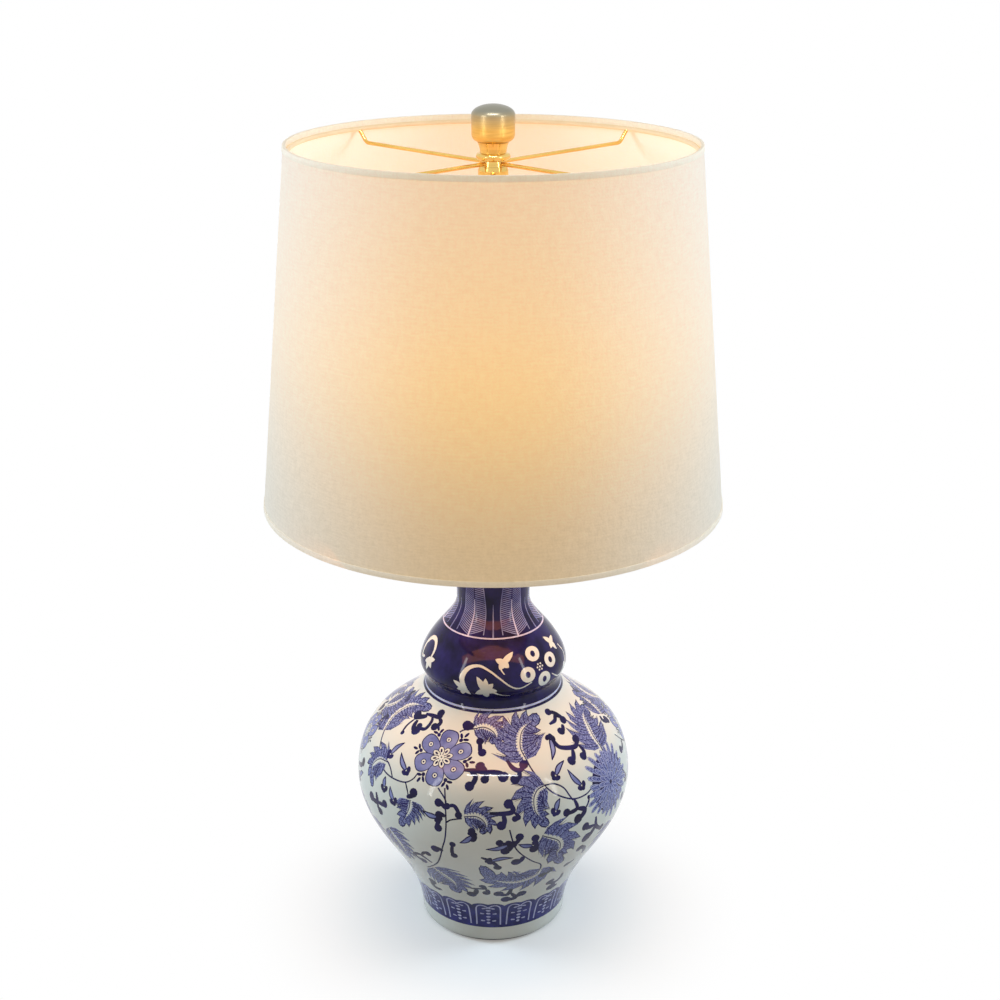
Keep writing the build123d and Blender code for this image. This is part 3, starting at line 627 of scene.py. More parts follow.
# The pale curl in a lappet as (angle from its middle, along), and its dots as (along, width)
LAPPET_CURL = (
    (9.0, 11), (8.8, 20), (8.6, 29), (7.9, 33.2), (5.6, 35.6), (2.6, 34.8), (0.4, 32.6), (-1.8, 31.0),
)
LAPPET_DOTS = ((28.4, 2.1), (24.6, 1.9), (20.6, 1.9), (17.0, 1.7), (13.4, 1.5))
lappet_pitch = 360 / LAPPETS
for k in range(LAPPETS):
    mid = FIRST_LAPPET + k * lappet_pitch
    edge = lappet_pitch / 2 + 0.05
    patch(
        "band", (mid - edge, 8), (mid + edge, 8), (mid + edge, 35), (mid + 9.6, 36.8), (mid + 7, 38.2),
        (mid + 3.5, 38.4), (mid, 37.2), (mid - 3.5, 38.4), (mid - 7, 38.2), (mid - 9.6, 36.8),
        (mid - edge, 35),
    )
    for side in (1, -1):
        line("line", 1.15, *((mid + side * a, s) for a, s in LAPPET_CURL))
        dot("line", mid - side * 3.2, 31.2, 1.8, 0.8, side * 12)
        for run, reach in ((24.2, 4.4), (15.6, 4.0)):
            dot("line", mid + side * reach, run, 1.7, 0.65, side * 6)
            dot("line", mid + side * (reach + 0.9), run + 0.15, 0.9, 0.85)
    for run, wide in LAPPET_DOTS:
        dot("line", mid, run, wide, 1.15)
print("lappets", LAPPETS, "strokes", len(paint))

# %% The rings at the waist and the dark ground above
for kind, low, high in (
    ("dark", 238.2, 240.4), ("line", 240.6, 241.8), ("dark", 242.0, skin_run[-1] + 5),
    ("line", 302.9, 304.1),
):
    ring(kind, low, high)
print("strokes so far", len(paint))

# %% [markdown]
# ## The upper gourd
# Above the waist the ground is dark and the flowers are left white, as if the brush had gone round them.
# A white scroll with leaves and plum blossom circles the gourd, and broad striped leaves climb the neck.

# %% Striped leaves round the neck
BLADES = 6
FIRST_BLADE = -30
BLADE_PITCH = 60
STRIPES = 33
FIRST_STRIPE = 304.8
STRIPE_PITCH = 1.7
STRIPE_WIDTH = 0.75
STRIPE_SLANT = 0.42
# Half of a leaf's outline as (angle from its middle, along)
BLADE = ((18.5, 306), (19.0, 318), (18.0, 331), (14.5, 346), (8.5, 360), (0, 372))
blade_turns, blade_runs = zip(*BLADE)
for k in range(BLADES):
    mid = FIRST_BLADE + BLADE_PITCH * k
    for stripe in range(STRIPES):
        foot = FIRST_STRIPE + STRIPE_PITCH * stripe
        reach = np.interp(foot + 3, blade_runs, blade_turns) - 0.6
        rise = math.radians(reach) * skin_radius(foot) * STRIPE_SLANT
        for side in (1, -1):
            near, far = mid + side * 0.8, mid + side * reach
            patch("petal", (near, foot), (far, foot + rise), (far, foot + rise + STRIPE_WIDTH),
                  (near, foot + STRIPE_WIDTH))
    for side in (1, -1):
        line("petal", 0.7, *((mid + side * a, s) for a, s in BLADE))
    lay("line", mid, ribbon(np.array([(0, 304), (0, 318), (0, 334)]), [1.3, 1.0, 0.5]))
    lay("petal", mid + 30, ribbon(np.array([(0, 304), (0, 318), (0, 331)]), [1.2, 0.9, 0.4]))
print("stripes on the neck", 2 * BLADES * STRIPES)

# %% White leaves, scrolls and petals
PLUM = 6.6


def spray(base, tip, width):
    """A white pointed leaf left in the dark ground."""
    start, end = (np.array(p) for p in from_degrees([base, tip]))
    rib = np.array([start + (end - start) * t for t in np.linspace(0, 1, 9)])
    lay("white", base[0], ribbon(rib, width * np.sin(math.pi * np.linspace(0.25, 1, 9)) ** 0.8 + 0.2))


def lobes(centre, size, *tips):
    """A white blot with pointed lobes towards these tips."""
    dot("white", *centre, size)
    for tip in tips:
        spray(centre, tip, 1.5 * size)


def scroll(widths, *points):
    """A white line that swells and thins through points of (angle, along)."""
    path = flow(from_degrees(points))
    spread = np.interp(np.linspace(0, 1, len(path)), np.linspace(0, 1, len(widths)), widths)
    lay("white", points[0][0], ribbon(path, spread))


def plum_petal(angle, run):
    """A round petal with a dark eye."""
    lay("white", angle, disc((0, run), PLUM, 0.93 * PLUM, points=26))
    dot("dark", angle, run, 0.34 * PLUM, 0.40 * PLUM)


# %% The white scroll on the dark ground
upper = len(paint)
scroll((3.2, 4.4, 3.4, 2.0, 1.5, 1.3, 1.2, 1.0, 0.8), (-21, 260), (-25, 270), (-21, 278.5), (-12, 281.5),
       (-3, 278), (5, 272), (15, 264), (22, 262.5), (31, 265.5))
lobes((-23, 262), 2.6, (-32, 267), (-29, 260), (-26, 253.5), (-18, 256))
lobes((-6, 262), 3.4, (-13, 273), (-6, 272), (0, 268), (3, 262), (-5, 253), (-14, 258))
scroll((2.0, 1.2, 0.6), (-2, 262), (6, 257), (14, 254.5))
lobes((9, 284), 3.2, (19, 292), (2, 287), (5, 279), (13, 280))
scroll((2.2, 1.2, 0.8), (8, 283), (6.5, 279), (9, 275))
for angle, run in ((38, 287), (28.5, 272), (43.5, 264.5), (54.5, 277)):
    plum_petal(angle, run)
heart_turn, heart_run = 41, 275.5
dot("dark", heart_turn, heart_run, 4.4)
for k in range(6):
    way = math.radians(60 * k)
    speck = (2.6 * math.cos(way), heart_run + 2.6 * math.sin(way))
    lay("white", heart_turn, disc(speck, 0.8, points=8))
dot("white", heart_turn, heart_run, 0.9)
lobes((67, 288), 2.8, (60, 295), (75, 291), (70, 280), (62, 284))
scroll((1.6, 3.0, 3.8, 3.2, 2.4, 1.8), (-62, 274), (-62, 283), (-68, 289), (-77, 288), (-82, 280),
       (-79, 271), (-73, 272))
lobes((-63, 273), 2.8, (-56, 276), (-58, 268), (-65, 264), (-69, 270))
lobes((-86, 262), 3.0, (-93, 267), (-80, 266), (-81, 256), (-91, 257))
scroll((0.8, 1.3, 1.8, 1.2, 0.8), (52, 266), (62, 260), (73, 263), (80, 272), (76, 282))
lobes((74, 264), 2.8, (82, 260), (76, 255), (67, 257))
paint_back(upper)
print("strokes so far", len(paint))

# %% [markdown]
# ## The belly
# The belly carries two open flowers, a chrysanthemum and some twenty serrated leaves, tied together by
# stems with dark comma strokes. They could be scattered by chance, but a painter sets out every one, so
# each list below is a kind of motif, and each entry of it one place.

# %% Stems on the belly
belly = len(paint)
for points in (
    ((-71.5, 192), (-64.5, 180.5), (-59, 173), (-53.5, 168.5), (-47, 167.5), (-40.5, 169), (-37, 173.5),
     (-35.5, 178.5)),
    ((-63, 166), (-60, 174), (-55, 176.5), (-51, 173.5), (-48, 168)),
    ((-40, 169), (-38, 163), (-37, 158)),
    ((-24, 173), (-20, 165), (-19.5, 158), (-19, 145.5), (-19.5, 133), (-21, 123), (-23, 110.5),
     (-26, 99), (-31, 89), (-34.5, 84)),
    ((-21, 174), (-19.5, 160)), ((-22, 220.5), (-19.5, 223), (-13, 225)),
    ((17, 198), (18.5, 189), (21.5, 178), (25.5, 169), (31, 162), (36, 158.5), (41.5, 158.5), (45, 161)),
    ((22.5, 175.5), (27, 175), (31, 170), (33, 163), (34.5, 158)),
    ((6.5, 144), (7.5, 135.5), (9, 126.5), (12, 118), (17.5, 107), (21.5, 100.5), (22.5, 93)),
    ((-19, 147), (-17, 150), (-12.5, 152.5)), ((61, 184), (60.5, 178)),
    ((78, 180), (82, 171), (88, 163), (97, 153), (101, 141), (100, 128), (96, 116), (92, 106)),
    ((101, 141), (105, 134), (110, 130)), ((88, 163), (84, 157), (82, 150)),
    ((96, 116), (88, 110), (80, 104), (76, 95)),
):
    stem(*points)
print("strokes so far", len(paint))

# %% Leaves on the belly
for left, right, *points in (
    (17, 17, (-71.5, 192), (-77, 205), (-75, 218), (-66, 226), (-52, 230.5)),
    (13, 12, (-13, 225), (-6.5, 227), (-0.5, 224), (1.5, 219), (-2, 214)),
    (20, 20, (17, 198), (15.5, 208), (17, 217), (20, 223), (26, 227), (36, 231)),
    (21, 21, (61, 184), (62, 194), (65, 202), (69, 209), (74, 212), (80, 210.5)),
    (15, 13, (-55, 176), (-60, 174), (-63, 168), (-63.5, 162), (-60, 149)),
    (14, 14, (-36, 157), (-36, 152), (-37, 145.5), (-41, 131)),
    (12, 10, (-11.5, 154), (-7, 155), (-4, 152), (-3, 147), (-5, 141)),
    (14, 17, (22.5, 175.5), (19, 173), (17, 167), (17, 158), (19, 151), (22.5, 143)),
    (18, 18, (20, 135), (27, 127), (29, 118), (28, 110), (34, 91)),
    (18, 22, (22.5, 93), (21.5, 83), (17.5, 78), (12, 75.5), (5, 78), (-1, 85.5), (-5.5, 106)),
    (20, 22, (-30.5, 87), (-26, 78), (-23, 70.5), (-22, 63), (-23.5, 50)),
    (16, 16, (-50, 120), (-46, 110), (-45, 100), (-47, 85)),
    (16, 16, (-66, 116), (-63, 106), (-62, 96), (-65, 84)),
    (15, 15, (-72, 88), (-68, 80), (-68, 70), (-72, 58)),
    (16, 16, (64, 112), (60, 103), (59, 93), (63, 80)),
    (15, 15, (82, 150), (86, 140), (87, 128), (84, 114)),
    (15, 15, (86, 196), (90, 205), (91, 215), (86, 227)),
    (15, 15, (92, 106), (95, 97), (95, 87), (91, 74)), (13, 13, (76, 95), (74, 85), (77, 75), (83, 66)),
    (14, 14, (110, 130), (108, 120), (105, 110), (106, 97)),
):
    leaf(left, right, *points)
print("strokes so far", len(paint))

# %% Comma strokes on the belly
for bulb, *points in (
    (4, (-53.5, 225), (-47, 226.5), (-41, 227.5), (-40.5, 231)),
    (4, (-41, 227), (-38, 224), (-39.5, 218.5)),
    (3.5, (-47, 226), (-45, 221.5), (-46, 214), (-51, 212.5)),
    (5, (-51, 224), (-55, 221), (-58.5, 218.5)), (5, (-56, 217), (-55, 211.5), (-52, 208)),
    (2.4, (-58.5, 217), (-60, 209), (-59, 201.5)), (5, (-13.5, 226), (-15.5, 227.5), (-17.5, 228.5)),
    (4.5, (-14.5, 190), (-9, 190.5), (-4, 190), (-5.5, 195)),
    (4.5, (-11, 190), (-8, 185.5), (-9.5, 177.5)), (4, (-4, 190), (-3, 187), (-3, 184)),
    (5, (-4, 190), (1, 189.5), (5, 187.5)), (4.5, (7, 199), (9.5, 192.5), (12.5, 190), (15.5, 193)),
    (4.5, (12.5, 190), (12, 186), (10.5, 182.5)), (4, (40, 221.5), (45.5, 222.5), (49, 226), (53, 220.5)),
    (4, (49, 217), (47.5, 214), (45.5, 211.5)),
    (4.5, (35, 214), (36, 208), (37.5, 201.5), (42, 198), (47, 196.5), (50.5, 200)),
    (4.5, (44, 195.5), (42.5, 191), (40.5, 186.5)), (4, (49, 196), (49.5, 190.5), (48, 186)),
    (4, (35, 159), (36, 150.5), (31, 148.5)), (5, (36, 150.5), (40, 146.5), (37, 140)),
    (2, (40, 146.5), (42, 151), (43, 155)), (4, (46.5, 135), (47.5, 125.5), (52, 117.5)),
    (6, (47.5, 127), (46, 121), (44, 115.5)), (4.5, (46.5, 127), (43.5, 127.5), (40.5, 129)),
    (4.5, (48, 90.5), (46, 100), (42.5, 105.5)), (4.5, (-1.5, 158), (4, 157.5), (8, 159), (7, 165.5)),
    (3, (8, 159), (10.5, 154), (9, 152)), (4.5, (4, 157), (4.5, 152), (4, 147.5)),
    (5, (12.5, 116), (12, 112), (10.5, 108.5)), (4, (-5, 116.5), (-1, 112), (2.5, 103.5)),
    (4.5, (-21, 119), (-23, 120), (-24.5, 120.5)),
    (4, (-29, 96.5), (-34, 104), (-38, 100.5), (-34.5, 94)),
    (3.5, (-33, 105), (-31.5, 108.5), (-29.5, 110.5)), (5, (-56.5, 148), (-55.5, 140.5), (-60, 139)),
    (4, (-55.5, 140.5), (-53, 141), (-50, 142)), (4, (-55.5, 140.5), (-55, 137), (-54, 133)),
    (4.5, (-38, 158.5), (-36, 160.5), (-34.5, 162.5)), (4, (-19.5, 158), (-21, 161), (-22.5, 163)),
    (4, (-19.5, 152), (-21, 153), (-22, 153.5)), (4, (-21.5, 148), (-22.5, 145), (-23, 141.5)),
    (5, (-34.5, 46.5), (-40.5, 46.5), (-40.5, 55.5)), (3.5, (-13.5, 63), (-5, 64), (-5, 68)),
    (5, (-9.5, 63), (-10, 57), (-12, 51.5)), (4, (-4, 63), (-3, 60), (-3, 56.5)),
    (5, (10.5, 63), (8.5, 53), (3, 53.5)), (5, (10.5, 55), (14, 46.5), (8.5, 43.5)),
    (5, (12, 50), (15, 49), (18, 50)), (5, (42.5, 65.5), (44, 58), (41.5, 53), (35, 56.5)),
    (5.5, (45, 46.5), (42, 45), (39, 45.5)), (4.5, (28.5, 89), (30, 83), (26.5, 78)),
    (4, (44, 86), (42.5, 84), (40.5, 81.5)), (5, (-52, 66), (-56, 65), (-58, 62)),
    (5, (-70, 62), (-74, 63), (-75, 60)), (4.5, (66, 112), (70, 114), (72, 110)),
    (5, (53, 64), (57, 64), (58, 60)), (5, (66, 68), (69, 66), (71, 62)),
    (4, (82, 171), (80, 167), (76, 166)), (4.5, (98, 150), (103, 152), (107, 157)),
    (4, (100, 130), (96, 132), (93, 128)), (4.5, (80, 104), (78, 109), (74, 110)),
    (4, (95, 229), (92, 224), (96, 219)), (4.5, (82, 198), (80, 194), (83, 190)),
    (5, (99, 72), (95, 66), (91, 67)), (5, (104, 78), (108, 72), (105, 66)),
    (4.5, (88, 57), (92, 51), (97, 53)), (4.5, (75, 132), (72, 128), (69, 130)),
    (4, (77, 60), (81, 54), (85, 56)), (4.5, (103, 54), (107, 50), (110, 53)),
):
    comma(bulb, *points)
for bulb, *points in (
    (4, (-8, 215), (-7.5, 210), (-7, 205.5)), (4, (44.5, 231), (49, 228), (53, 220.5)),
    (4, (2.5, 132.5), (8, 130.5), (11, 136)), (4.5, (8, 130.5), (7, 127), (5.5, 123)),
    (4.5, (17, 134), (17.5, 128), (17.5, 123)), (3.5, (-16.5, 128), (-17, 122), (-17, 115.5)),
    (3.5, (-19, 160.5), (-16, 161.5), (-13.5, 155.5)), (4, (-8.5, 142.5), (-8, 140), (-7.5, 136.5)),
):
    twin(bulb, *points)
print("strokes so far", len(paint))

# %% Buds and flowers on the belly
for base, tip in (
    ((-55, 183), (-51.5, 196.5)), ((-42, 178), (-49.5, 188.5)), ((-51.5, 157), (-52, 165.5)),
    ((-45, 151), (-48, 160.5)), ((-23, 150), (-29.5, 152.5)), ((-8.5, 138), (-13.5, 130.5)),
    ((29, 181), (36, 190)), ((40, 167), (35.5, 182.5)), ((26, 154), (28.5, 163)), ((6, 130), (-3, 126)),
    ((16, 127), (10, 130)), ((35, 210), (30, 193)), ((-1, 112), (8.5, 115.5)), ((104, 143), (109, 151)),
    ((74, 144), (71, 155)), ((88, 118), (92, 128)), ((99, 196), (104, 187)), ((70, 95), (66, 88)),
):
    bud(base, tip)
chrysanthemum(58, 156, 30)
open_flower(-27, 197, 24)
open_flower(94, 176, 18)
paint_back(belly)
print("strokes", len(paint))

# %% [markdown]
# ## Cut the skin along every stroke
# One constrained triangulation cuts the flat skin along every outline, so each triangle lies wholly in
# or out of each stroke, and the last stroke over it gives its colour. Long edges are cut short first,
# because a long straight edge would pass through the round body. A loose grid of points between the
# strokes keeps the triangles small where the paint is bare, so the gourd stays round.

# %% Strokes on one turn of the sheet
# Longest edge of a stroke, in mm
LONGEST = 5.2


def with_short_edges(shape):
    """The same outline with no edge so long that it would cut through the round body."""
    short = []
    for start, end in zip(shape, np.roll(shape, -1, axis=0)):
        parts = max(1, math.ceil(np.linalg.norm(end - start) / LONGEST))
        short.extend(start + (end - start) * k / parts for k in range(parts))
    return np.array(short)


strokes = []
for kind, shape in paint:
    shape = with_short_edges(shape)
    for shift in (-GIRTH, 0.0, GIRTH):
        moved = shape + np.array([shift, 0.0])
        if moved[:, 0].max() > SEAM and moved[:, 0].min() < SEAM + GIRTH:
            strokes.append((kind, moved))
print("strokes on the sheet", len(strokes))

# %% Points and edges of the sheet
# Rows of points, in mm: how far apart on plain curves, and at the foot, waist and mouth
GRID = 6.6
FINE = 1.3
FEWEST_COLUMNS = 48
WAIST_START, WAIST_END, MOUTH_START = 236, 262, 380
points = []
edges = []


def add_loop(loop, closed=True):
    """Add points to the sheet, joined by edges that the triangles must keep."""
    first = len(points)
    points.extend(Vector(p) for p in loop)
    edges.extend((first + i, first + i + 1) for i in range(len(loop) - 1))
    if closed:
        edges.append((len(points) - 1, first))


rows = [skin_run[0]]
while rows[-1] < skin_run[-1] - 0.4:
    tight = rows[-1] < 0 or WAIST_START < rows[-1] < WAIST_END or rows[-1] > MOUTH_START
    rows.append(min(rows[-1] + (FINE if tight else GRID), skin_run[-1]))
rows[-1] = skin_run[-1]
for side in (SEAM, SEAM + GIRTH):
    add_loop([(side, run) for run in rows], closed=False)
for run in (rows[0], rows[-1]):
    add_loop([(SEAM + GIRTH * k / RING_STEPS, run) for k in range(RING_STEPS + 1)], closed=False)
for count, run in enumerate(rows[1:-1]):
    even = round(2 * math.pi * skin_radius(run) / GRID)
    columns = RING_STEPS if run < 0 else max(FEWEST_COLUMNS, even)
    offset = 0.5 if count % 2 and run > 0 else 1.0
    points.extend(Vector((SEAM + GIRTH * (k + offset) / columns, run)) for k in range(columns - 1))
for kind, shape in strokes:
    add_loop(shape)
print("rows", len(rows), "points", len(points), "edges to keep", len(edges))

# %% Triangulate, with a loop round the cord hole
CORD_CUT = 6.8
CORD_STEPS = 40
cord_height = (cord_low.z + cord_high.z) / 2 / MM
around = np.linspace(0, 2 * math.pi, CORD_STEPS, endpoint=False)
cut_height = cord_height + CORD_CUT * np.sin(around)
cut_turn = math.pi - np.arcsin(CORD_CUT * np.cos(around) / np.interp(cut_height, heights, radii))
cord_cut = np.column_stack([cut_turn * FLAT_RADIUS, np.interp(cut_height, heights, skin_run)])
add_loop(cord_cut)
flat_verts, _, flat_faces, _, _, _ = delaunay_2d_cdt(points, edges, [], 0, 1e-4, False)
flat_verts = np.array(flat_verts)
flat_faces = np.array(flat_faces)
print("points", len(points), "triangles", len(flat_faces))

# %% Colour every triangle


def inside(spots, shape):
    """Which of these spots a closed outline winds round."""
    turns = np.zeros(len(spots), int)
    for (ax, ay), (bx, by) in zip(shape, np.roll(shape, -1, axis=0)):
        left = (bx - ax) * (spots[:, 1] - ay) - (spots[:, 0] - ax) * (by - ay)
        turns += (ay <= spots[:, 1]) & (by > spots[:, 1]) & (left > 0)
        turns -= (ay > spots[:, 1]) & (by <= spots[:, 1]) & (left < 0)
    return turns != 0


centres = flat_verts[flat_faces].mean(axis=1)
across, along = centres.T
on_sheet = (across > SEAM) & (across < SEAM + GIRTH) & (along > rows[0]) & (along < rows[-1])
on_sheet &= ~inside(centres, cord_cut)
flat_faces = flat_faces[on_sheet]
centres = centres[on_sheet]
colour = np.zeros(len(flat_faces), int)
order = np.argsort(centres[:, 0])
sorted_across = centres[order, 0]
for kind, shape in strokes:
    low, high = shape.min(axis=0), shape.max(axis=0)
    near = order[np.searchsorted(sorted_across, low[0]):np.searchsorted(sorted_across, high[0])]
    near = near[(centres[near, 1] > low[1]) & (centres[near, 1] < high[1])]
    colour[near[inside(centres[near], shape)]] = kind
print("triangles of each paint", np.bincount(colour))

# %% [markdown]
# ## Roll the skin up
# Each flat point goes back to its angle and height, and the two edges of the sheet weld into one seam. A
# spun inside closes the body: the mouth, the wall an even 7 mm in, the floor with the hole for the pipe
# and the recess under the foot. Triangles cut along brush strokes are uneven, so the normals are taken
# from the outline itself, and the glaze mirrors the room without ripples.

# %% Spin the inside of the body
# Millimetres, except that every eighth station of the outline is enough for the wall
WALL = 7.0
WALL_STEP = 8
LIP = 3
MOUTH_RADIUS = 26.4
FLOOR = 17.4
CEILING = 10.4
PIPE_HOLE = 5.5
RECESS = 47.2
slope_out = np.gradient(radii, skin_run)
slope_up = np.gradient(heights, skin_run)
wall = [(r - WALL * up, z + WALL * out) for r, z, out, up in zip(radii, heights, slope_out, slope_up)]
wall = [spot for spot in wall[::-WALL_STEP] if FLOOR < spot[1] < heights[-1] - LIP]
lathe = [
    (radii[-1], heights[-1]), (MOUTH_RADIUS, heights[-1]), *wall, (wall[-1][0], FLOOR),
    (PIPE_HOLE, FLOOR), (PIPE_HOLE, CEILING), (RECESS, CEILING), (RECESS, heights[0]),
    (radii[0], heights[0]),
]
body = spun([(r * MM, z * MM) for r, z in lathe], RING_STEPS, closed=False)
print("faces inside", len(body.faces))

# %% Roll up the painted skin
turn = flat_verts[:, 0] / FLAT_RADIUS
reach = skin_radius(flat_verts[:, 1]) * MM
rise = skin_height(flat_verts[:, 1]) * MM
rolled = np.column_stack([reach * np.sin(turn), -reach * np.cos(turn), rise])
skin_verts = {i: body.verts.new(rolled[i]) for i in np.unique(flat_faces)}
for corners, kind in zip(flat_faces, colour):
    body.faces.new([skin_verts[i] for i in corners]).material_index = int(kind)
bmesh.ops.remove_doubles(body, verts=body.verts, dist=2e-6)
rim = [edge for edge in body.edges if edge.is_boundary]
print("open edges before the cord hole is sunk", len(rim))

# %% Sink the cord hole
SPOT_FACE = 61.5
for depth, radius in ((SPOT_FACE, CORD_CUT), (SPOT_FACE, PIPE_HOLE), (SPOT_FACE - WALL, PIPE_HOLE)):
    sunk = bmesh.ops.extrude_edge_only(body, edges=rim)["geom"]
    for vert in (v for v in sunk if isinstance(v, bmesh.types.BMVert)):
        away = Vector((vert.co.x, 0, vert.co.z - cord_height * MM)).normalized() * radius * MM
        vert.co = (away.x, depth * MM, cord_height * MM + away.z)
    rim = [e for e in sunk if isinstance(e, bmesh.types.BMEdge) and e.is_boundary]
bmesh.ops.holes_fill(body, edges=rim)
bmesh.ops.recalc_face_normals(body, faces=body.faces)
print("open edges left", sum(edge.is_boundary for edge in body.edges))
painted_body = add_piece(
    body, "painted_body", "base", ["ceramic_body"], list(glazes.values()))

# %% Normals from the outline
NEAR = 0.1
smooth = []
for vert in painted_body.data.vertices:
    height, radius = vert.co.z / MM, vert.co.xy.length / MM
    on_skin = abs(radius - np.interp(height, heights, radii)) < 0.01
    at_end = not heights[0] + NEAR < height < heights[-1] - NEAR
    by_cord = vert.co.y > 0 and math.hypot(vert.co.x / MM, height - cord_height) < CORD_CUT + NEAR
    if on_skin and not at_end and not by_cord:
        out = np.interp(height, heights, slope_up)
        up = -np.interp(height, heights, slope_out)
        smooth.append((vert.co.x / MM / radius * out, vert.co.y / MM / radius * out, up))
    else:
        smooth.append((0, 0, 0))
painted_body.data.normals_split_custom_set_from_vertices(smooth)
print("normals from the outline", sum(any(normal) for normal in smooth))

# %% [markdown]
# ## The felt under the foot
# A ring of pressed felt keeps the foot off the table. A flat ring cut from a sheet would do, but felt has
# no sharp edge, so it is spun from a small outline with rounded corners.

# %% Felt ring
SOFT = 0.6 * MM
felt_low, felt_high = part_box("felt_ring")
felt_outer = felt_high.x
felt_inner = min(v.co.xy.length for v in frame["nodes"]["felt_ring"].data.vertices)
felt_outline = [
    (felt_inner, felt_high.z), (felt_inner, felt_low.z + SOFT), (felt_inner + SOFT, felt_low.z),
    (felt_outer - SOFT, felt_low.z), (felt_outer - SOFT * 0.3, felt_low.z + SOFT * 0.3),
    (felt_outer, felt_low.z + SOFT), (felt_outer, felt_high.z),
]
felt_wool = finish(
    "felt_wool", [(0.010, 0.011, 0.011), (0.030, 0.032, 0.030)], 900, (0.85, 1.0), bump=0.6,
    bump_depth=0.0006, Sheen_Weight=0.3,
)
felt = add_piece(spun(felt_outline, RING_STEPS), "felt_pad", "base", ["felt_ring"], [felt_wool])

# %% [markdown]
# ## Linen for the shade
# The shade is a sheet of linen stuck to a stiff white liner and rolled into a cone, with a folded hem at
# each end. The threads could be modelled, but from here they are only a grain, so three noises drawn out
# along the weft or the warp stand for them, on the angle and height of each point. The bulb shines
# through, so the cloth gives a warm light of its own, which goes by height and is weaker at the sides.

# %% Size of the cloth
cloth_low, cloth_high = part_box("shade_fabric")
cloth_rims = [v.co for v in frame["nodes"]["shade_fabric"].data.vertices]
bottom_radius = max(co.xy.length for co in cloth_rims if co.z < cloth_low.z + 0.001)
top_radius = max(co.xy.length for co in cloth_rims if co.z > cloth_high.z - 0.001)
print("shade radius at the bottom", round(bottom_radius, 4), "and the top", round(top_radius, 4))

# %% A helper for linen
# Noise scales: round the shade for each radian, and up it for each metre
THREADS = ((16.0, 640.0), (48.0, 130.0), (110.0, 620.0))
WEAVE_LOW, WEAVE_HIGH = 1.1, 1.9
WEAVE_BUMP = {"Strength": 0.25, "Distance": 0.0004}
WEAVE_IN_GLOW = 0.7


def linen(name, colours, glow, roughness, side_glow=1.0):
    """Woven cloth on a cone: colour and bump from stretched noises, and a glow by height and side."""
    material, tree, shader = new_material(name)
    axes = tree.nodes.new("ShaderNodeSeparateXYZ")
    feed(tree, axes.inputs["Vector"], add_node(tree, "TexCoord", "Object", {}))
    height = axes.outputs["Z"]
    turn = math_node(tree, "ARCTAN2", axes.outputs["X"], axes.outputs["Y"])
    threads = []
    for around, up in THREADS:
        place = add_node(tree, "CombineXYZ", "Vector", {
            "X": math_node(tree, "MULTIPLY", turn, around), "Y": math_node(tree, "MULTIPLY", height, up)})
        threads.append(add_node(tree, "TexNoise", "Fac", {"Vector": place, "Scale": 1.0, "Detail": 2.0}))
    weave = threads[0]
    for thread in threads[1:]:
        weave = math_node(tree, "ADD", weave, thread)
    depth = map_range(tree, weave, WEAVE_LOW, WEAVE_HIGH)
    colour = colour_ramp(tree, depth, list(zip((0.0, 1.0), colours)))
    level = map_range(tree, height, cloth_low.z, cloth_high.z)
    warm = colour_ramp(tree, level, glow, "B_SPLINE")
    strength = 1.0
    if side_glow < 1:
        swing = math_node(tree, "COSINE", math_node(tree, "MULTIPLY", turn, 2.0))
        strength = map_range(tree, swing, -1.0, 1.0, side_glow)
    for socket, source in (
        ("Base Color", colour), ("Roughness", roughness), ("Sheen Weight", 0.15),
        ("Normal", add_node(tree, "Bump", "Normal", {**WEAVE_BUMP, "Height": depth})),
        ("Emission Color", mixed(tree, WEAVE_IN_GLOW, warm, colour, "MULTIPLY")),
        ("Emission Strength", strength),
    ):
        feed(tree, shader.inputs[socket], source)
    return material


# %% Shade finishes
# Glow of each cloth as (share of the height, colour), from the bottom up
CLOTH_GLOW = [
    (0.0, (0.38, 0.21, 0.02)), (0.2, (0.50, 0.26, 0.02)), (0.45, (0.88, 0.46, 0.04)),
    (0.66, (0.89, 0.49, 0.12)), (1.0, (0.75, 0.45, 0.21)),
]
LINER_GLOW = [
    (0.0, (0.95, 0.46, 0.18)), (0.3, (0.62, 0.33, 0.17)), (0.75, (0.40, 0.27, 0.20)),
    (1.0, (0.44, 0.26, 0.14)),
]
HEM_GLOW = [(0.0, (0.36, 0.24, 0.10)), (1.0, (0.57, 0.41, 0.22))]
SIDE_GLOW = 0.55
shade_linen = linen(
    "shade_linen", [(0.60, 0.58, 0.54), (0.68, 0.66, 0.62)], CLOTH_GLOW, 0.85, side_glow=SIDE_GLOW)
hem_linen = linen("hem_linen", [(0.58, 0.57, 0.54), (0.66, 0.65, 0.62)], HEM_GLOW, 0.9)
liner_white = linen("liner_white", [(0.80, 0.78, 0.72), (0.83, 0.81, 0.75)], LINER_GLOW, 0.5)
print("nodes in the linen", len(shade_linen.node_tree.nodes))

# %% Cloth and liner
CLOTH = 0.6 * MM
LINER = 0.8 * MM


def cone(z):
    """Outside radius of the cloth at a height."""
    return np.interp(z, [cloth_low.z, cloth_high.z], [bottom_radius, top_radius])


def cone_shell(inset, thickness, steps=12):
    """A thin closed cone, inset from the cloth's outside."""
    levels = np.linspace(cloth_low.z, cloth_high.z, steps)
    outside = [(cone(z) - inset, z) for z in levels]
    return spun(outside + [(r - thickness, z) for r, z in outside[::-1]])


cloth = add_piece(
    cone_shell(0, CLOTH), "linen_cloth", "shade", ["shade_fabric"], [shade_linen])
add_piece(cone_shell(CLOTH, LINER), "white_liner", "shade", ["shade_liner"], [liner_white])

